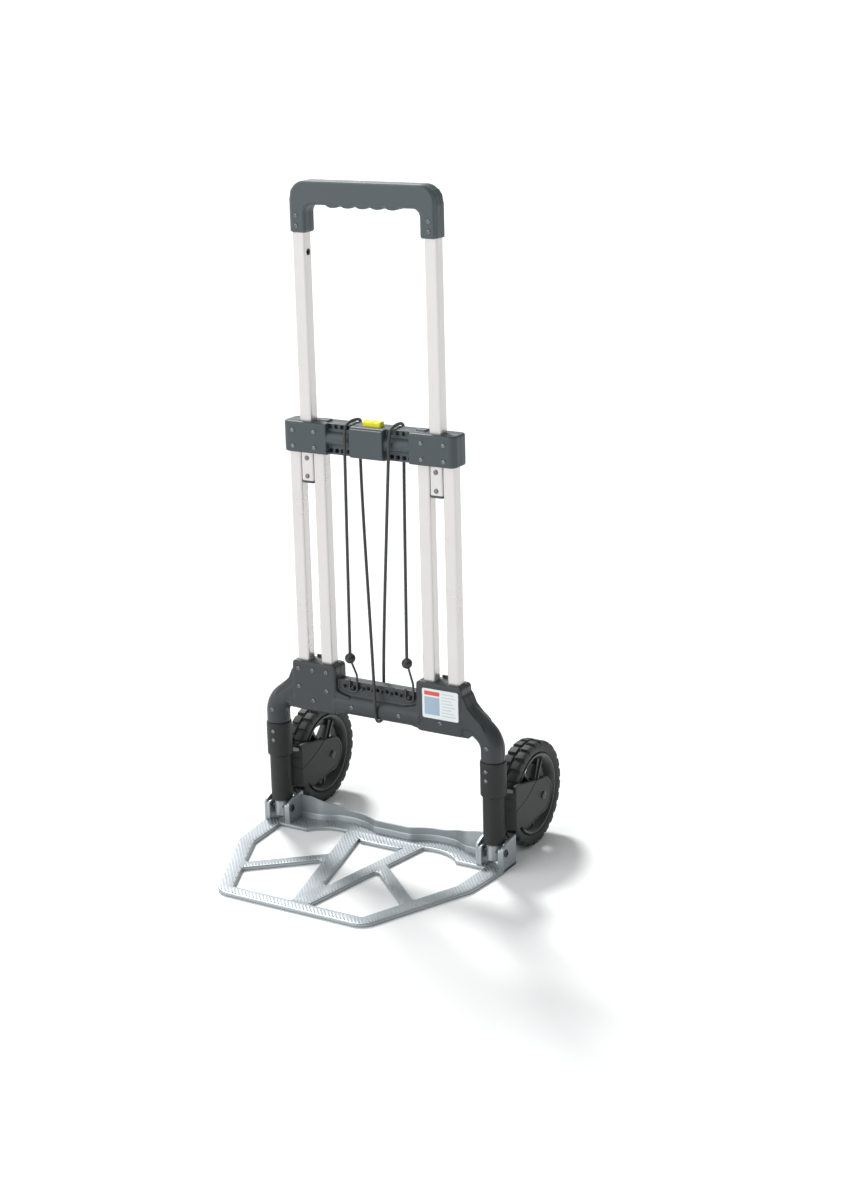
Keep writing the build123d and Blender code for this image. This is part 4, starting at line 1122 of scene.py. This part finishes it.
@dataclass(frozen=True)
class ToePlate:
    """The folding cast plate with its windows, ridges, rear wall and hinge ears."""

    at: Measures
    skin: float = 6.5
    ridge_pitch: float = 5.0
    ridge_height: float = 1.2
    ridge_heading: float = -50.0
    ridge_margin: float = 2.6
    wall_low: float = 26.0
    wall_high: float = 44.0
    wall_thick: float = 3.2
    step_height: float = 14.5
    small_hole: float = 400.0
    bolt_head: float = 2.5
    ear_thick: float = 4.5
    pocket: float = 14.4
    body: str = "toe_plate"

    def build(self, frame: dict) -> None:
        """Make the plate and its hinge bolts.
        """
        loops = face_loops(frame, "toe_plate", 0.0)
        outer, windows = loops[0], [loop for loop in loops[1:] if abs(area(loop)) > self.small_hole]
        web = Draft()
        layers = [(1.2, 0.0), (0.2, 0.9), (0.0, 2.0), (0.0, self.skin - 1.9),
                  (0.35, self.skin - 0.8), (1.0, self.skin - 0.15), (1.7, self.skin)]
        web.plate(outer, layers, upright(0, 0), windows)
        self._corners(web, layers)
        self._ridges(web, outer, windows)
        web.piece("toe_plate_web", self.body, CAST_ALUMINIUM, ["toe_plate"])
        wall = Draft()
        self._wall(wall)
        wall.piece("toe_plate_wall", self.body, CAST_ALUMINIUM, crease=32.0)
        ears = Draft()
        for side in Side:
            self._ears(ears, side)
            self._bolt(side)
        ears.piece("toe_plate_ears", self.body, CAST_ALUMINIUM)

    def _wall_line(self) -> list[Point2]:
        """Middle line of the rear wall, from the left leg's inner ear to the right one's."""
        spot = self.at.leg_x - (self.at.axle_y - self.at.leg_y)
        arc_y = self.at.hinge_y - (self.at.wheel_radius - self.at.hinge_z)
        radius = self.at.wheel_radius + 14.7
        flat, ear, steps = 34.0, self.at.leg_x - 24.5, 60
        turn_out, turn_width = 112, 40
        valley = arc_y + math.sqrt(radius ** 2 - (spot - flat) ** 2)
        line = []
        for step in range(steps + 1):
            x = ear * step / steps
            arc = arc_y + math.sqrt(radius ** 2 - min(abs(x - spot), radius - 1) ** 2)
            y = arc if x > flat else valley
            blend = min(max((x - turn_out) / turn_width, 0.0), 1.0)
            blend = blend * blend * (3 - 2 * blend)
            line.append((x, y * (1 - blend) + (self.at.leg_y + 22.0) * blend))
        for _ in range(2):
            line = [line[0], *[((a[0] + 2 * b[0] + c[0]) / 4, (a[1] + 2 * b[1] + c[1]) / 4)
                               for a, b, c in zip(line, line[1:], line[2:])], line[-1]]
        return [(-x, y) for x, y in line[:0:-1]] + line

    def _wall(self, draft: Draft) -> None:
        """Loft the rear wall with its step, rising towards the ears."""
        line = self._wall_line()
        ear = line[-1][0]
        rings = []
        for index, (x, y) in enumerate(line):
            ahead = Vector(line[min(index + 1, len(line) - 1)]) - Vector(line[max(index - 1, 0)])
            normal = Vector((-ahead.y, ahead.x)).normalized()
            rise = min(max((abs(x) - 0.45 * ear) / (0.5 * ear), 0.0), 1.0)
            top = self.wall_low + (self.wall_high - self.wall_low) * rise * rise * (3 - 2 * rise)
            back = self.wall_thick / 2
            section = [(-back - 2.6, self.skin - 1.0), (-back - 1.5, self.skin + 2.5),
                       (-back - 1.2, self.step_height - 0.8), (-back - 0.9, self.step_height),
                       (-back - 0.1, self.step_height + 0.9), (-back, self.step_height + 2),
                       (-back, top - 0.8), (-back + 0.8, top), (back - 0.8, top),
                       (back, top - 0.8), (back, 1.5), (back - 1.2, 0.3), (-back, 0.3)]
            rings.append([(x + normal.x * u, y + normal.y * u, z) for u, z in section])
        draft.loft(rings)

    def _corners(self, draft: Draft, layers: Sequence[Layer]) -> None:
        """Carry the plate out to the wall beside each inner ear."""
        inner_end, reach = 118, 1.6
        line = [p for p in self._wall_line() if p[0] > inner_end]
        back = [(line[-1][0], self.at.leg_y - 16), (150, self.at.leg_y - 4),
                (120, self.at.leg_y + 15)]
        # a hair inside the web's own faces, so that the two never coincide
        fill = [(max(i, 0.05), h * 0.985 + 0.02) for i, h in layers[:4]]
        fill.append((0.3, self.skin - 0.2))
        for side in Side:
            outline = [(side.value * x, y) for x, y in
                       [*((x, y + reach) for x, y in line), *back]]
            draft.plate(outline, fill, upright(0, 0))

    def _ridges(self, draft: Draft, outer: Sequence[Point2],
                windows: Sequence[Sequence[Point2]]) -> None:
        """Cover the web with raised lines that stop short of its edges and the wall."""
        heading = math.radians(self.ridge_heading)
        ahead = np.array((math.cos(heading), math.sin(heading)))
        across = np.array((-ahead[1], ahead[0]))
        bounds = [np.array(inset(orient(outer, True), self.ridge_margin))]
        bounds += [np.array(inset(orient(loop, False), self.ridge_margin)) for loop in windows]
        wall = np.array(self._wall_line())
        clear, beside, past_x, past_y = 6.0, 45, 260, 400
        wall = np.vstack([wall - (0, clear), [(past_x, wall[-1][1] - beside), (past_x, past_y),
                                              (-past_x, past_y), (-past_x, wall[0][1] - beside)]])
        bounds.append(wall)
        shortest, spots = 5, bounds[0] @ across
        for shift in np.arange(spots.min() + 2, spots.max(), self.ridge_pitch):
            cuts = sorted(cut for bound in bounds for cut in crossings(bound, ahead, across, shift))
            for start, end in zip(cuts, cuts[1:]):
                middle = ahead * (start + end) / 2 + across * shift
                inside = inside_loop(bounds[0], middle) and not any(
                    inside_loop(bound, middle) for bound in bounds[1:])
                if inside and end - start > shortest:
                    self._ridge(draft, ahead, across, shift, start, end)

    def _ridge(self, draft: Draft, ahead: np.ndarray, across: np.ndarray, shift: float,
               start: float, end: float) -> None:
        """Add one raised line."""
        base, top = self.skin - 0.3, self.skin + self.ridge_height
        rings = []
        for along, height, wide in ((start, base + 0.1, 0.6), (start + 1.2, top, 1.3),
                                    (end - 1.2, top, 1.3), (end, base + 0.1, 0.6)):
            ring = []
            for offset, level in ((-wide, base), (-wide * 0.45, height), (wide * 0.45, height),
                                  (wide, base)):
                x, y = ahead * along + across * (shift + offset)
                ring.append((float(x), float(y), level))
            rings.append(ring)
        draft.loft(rings)

    def _ears(self, draft: Draft, side: Side) -> None:
        """Add the two ears of one leg."""
        low, high = box_mm(f"hinge_pin_{side.word}")
        head, thick = self.bolt_head, self.ear_thick
        front, rear = self.at.leg_y - 18, self.at.leg_y + 25
        corners = [(front, 0.5), (rear, 0.5), (rear, 51.0), (front + 15, 46.5), (front, 40.0)]
        outline = rounded(corners, [0.5, 0.5, 2.5, 8.0, 5.0])
        layers = [(0.5, 0.0), (0.0, 0.5), (0.0, thick - 0.5), (0.5, thick)]
        for start in (low[0] + head, high[0] - head - thick):
            draft.plate(outline, layers, facing_out(start))
        # thicker feet of the ears, which leave a narrow pocket for the leg
        crown, foot_front, foot_rear = 38.5, front + 0.4, rear - 3
        block = rounded([(foot_front, 0.6), (foot_rear, 0.6), (foot_rear, crown),
                         (foot_front, crown)], [0.4, 0.4, 4.0, 5.0])
        width = (high[0] - low[0]) / 2 - head - thick - self.pocket + 0.5
        middle = (low[0] + high[0]) / 2
        layers = [(0.6, 0.0), (0.0, 0.6), (0.0, width)]
        for outward in (-1.0, 1.0):
            draft.plate(block, layers, facing_out(middle + outward * self.pocket, outward))

    def _bolt(self, side: Side) -> None:
        """Turn one hinge bolt with a domed head and a socket at each end."""
        low, high = box_mm(f"hinge_pin_{side.word}")
        head, pin = (high[1] - low[1]) / 2, 4.0
        half = [(0, 1.6), (2.2, 1.6), (2.5, 0.05), (head - 1.6, 0.25), (head - 0.3, 1.2),
                (head, self.bolt_head), (pin, self.bolt_head)]
        waist, inner = 2.4, (high[0] - low[0]) / 2 - self.pocket
        half += [(pin, inner), (waist, inner + 0.5)]
        centre = (0, self.at.hinge_y, self.at.hinge_z)
        Draft().turned(both_ends(half, low[0], high[0]), centre, "X", 32).piece(
            f"hinge_bolt_{side.word}", self.body, BLACKED_STEEL, [f"hinge_pin_{side.word}"])


def orient(loop: Sequence[Point2], outer: bool) -> list[Point2]:
    """Give a loop the direction in which inset() moves it into the metal."""
    return list(loop) if (area(loop) > 0) is outer else list(loop)[::-1]


def crossings(bound: np.ndarray, ahead: np.ndarray, across: np.ndarray,
              shift: float) -> list[float]:
    """Find where a line crosses a loop.

    Args:
        bound: The loop's points.
        ahead: Direction of the line.
        across: Direction at right angles to it.
        shift: Distance of the line from the origin.

    Returns:
        Distances along the line.
    """
    side = bound @ across - shift
    along = bound @ ahead
    found = []
    for i in range(len(bound)):
        j = (i + 1) % len(bound)
        if (side[i] > 0) != (side[j] > 0):
            share = side[i] / (side[i] - side[j])
            found.append(float(along[i] + share * (along[j] - along[i])))
    return found


def inside_loop(bound: np.ndarray, point: np.ndarray) -> bool:
    """Tell whether a point lies inside a loop."""
    east = crossings(bound - point, np.array((1.0, 0.0)), np.array((0.0, 1.0)), 1e-7)
    return sum(cut > 0 for cut in east) % 2 == 1


@dataclass(frozen=True)
class Studio:
    """Camera, pale floor, backdrop and soft lights."""

    lens: float = 63.4
    shift: tuple[float, float] = (0.01196, -0.07883)
    place: Point3 = (1.67605, -2.63191, 1.37487)
    turn: float = 30.86
    tilt: float = 14.48
    roll: float = -1.51
    floor_half: float = 40.0
    ambient_left: float = 0.80
    ambient_right: float = 0.25
    backdrop: float = 1.15

    def build(self) -> None:
        """Set up the view and the light."""
        self._camera()
        bpy.context.scene.view_settings.view_transform = "Standard"
        self._world()
        stage = [self._floor()]
        stage.append(self._sun("key", (-1.9, 1.6, 2.6), 3.0, 12.0))
        stage.append(self._sun("front", (-1.4, -2.2, 1.3), 1.5, 70.0))

    def _camera(self) -> None:
        """Place the camera."""
        data = bpy.data.cameras.new("camera")
        data.lens = self.lens
        data.shift_x, data.shift_y = self.shift
        turn, tilt, roll = (math.radians(v) for v in (self.turn, self.tilt, self.roll))
        aim = (Matrix.Rotation(turn, 4, "Z") @ Matrix.Rotation(math.pi / 2 - tilt, 4, "X")
               @ Matrix.Rotation(roll, 4, "Z"))
        camera = linked("camera", data)
        camera.matrix_world = Matrix.Translation(self.place) @ aim
        bpy.context.scene.camera = camera

    def _world(self) -> None:
        """Light the scene from all round."""
        world = bpy.data.worlds.new("studio")
        world.use_nodes = True
        tree, links = world.node_tree, world.node_tree.links
        background = tree.nodes["Background"]
        background.inputs["Color"].default_value = (0.95, 1.0, 0.99, 1.0)
        place = shader_node(tree, "ShaderNodeTexCoord")
        split = shader_node(tree, "ShaderNodeSeparateXYZ")
        links.new(place.outputs["Generated"], split.inputs["Vector"])
        around = shader_node(tree, "ShaderNodeMapRange", From_Min=-1.0,
                             To_Min=self.ambient_left, To_Max=self.ambient_right)
        links.new(split.outputs["X"], around.inputs["Value"])
        seen = shader_node(tree, "ShaderNodeLightPath")
        strength = shader_node(tree, "ShaderNodeMapRange", To_Max=self.backdrop)
        links.new(around.outputs["Result"], strength.inputs["To Min"])
        links.new(seen.outputs["Is Camera Ray"], strength.inputs["Value"])
        links.new(strength.outputs["Result"], background.inputs["Strength"])
        bpy.context.scene.world = world

    def _floor(self) -> bpy.types.Object:
        """Make a wide pale floor."""
        work = bmesh.new()
        bmesh.ops.create_grid(work, x_segments=2, y_segments=2, size=self.floor_half)
        mesh = bpy.data.meshes.new("studio_floor")
        work.to_mesh(mesh)
        work.free()
        material = bpy.data.materials.new("studio_floor")
        material.use_nodes = True
        shader = material.node_tree.nodes["Principled BSDF"]
        shader.inputs["Base Color"].default_value = (0.9, 0.9, 0.9, 1.0)
        shader.inputs["Roughness"].default_value = 0.9
        shader.inputs["Specular IOR Level"].default_value = 0.0
        mesh.materials.append(material)
        return linked("studio_floor", mesh)

    @staticmethod
    def _sun(name: str, place: Point3, strength: float, spread: float) -> bpy.types.Object:
        """Add a soft distant light.

        Args:
            name: Name of the lamp.
            place: A point on the side that it shines from.
            strength: Its strength.
            spread: Its width in the sky, in degrees.

        Returns:
            The lamp.
        """
        data = bpy.data.lights.new(name, "SUN")
        data.energy = strength
        data.angle = math.radians(spread)
        lamp = linked(name, data)
        lamp.location = place
        lamp.rotation_euler = (-Vector(place)).to_track_quat("-Z", "Y").to_euler()
        return lamp


def main() -> None:
    """Build the cart and its studio."""
    logging.basicConfig(level=logging.INFO, format="%(name)s: %(message)s")
    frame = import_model()
    Studio().build()
    at = Measures.read()
    Cord().build(frame)
    Grip().build(frame)
    MiddleBar().build(frame)
    LowerFrame().build(frame)
    for side in Side:
        Leg(side, at).build(frame)
        Wheel(side, at).build()
    ToePlate(at).build(frame)


if __name__ == "__main__":
    main()
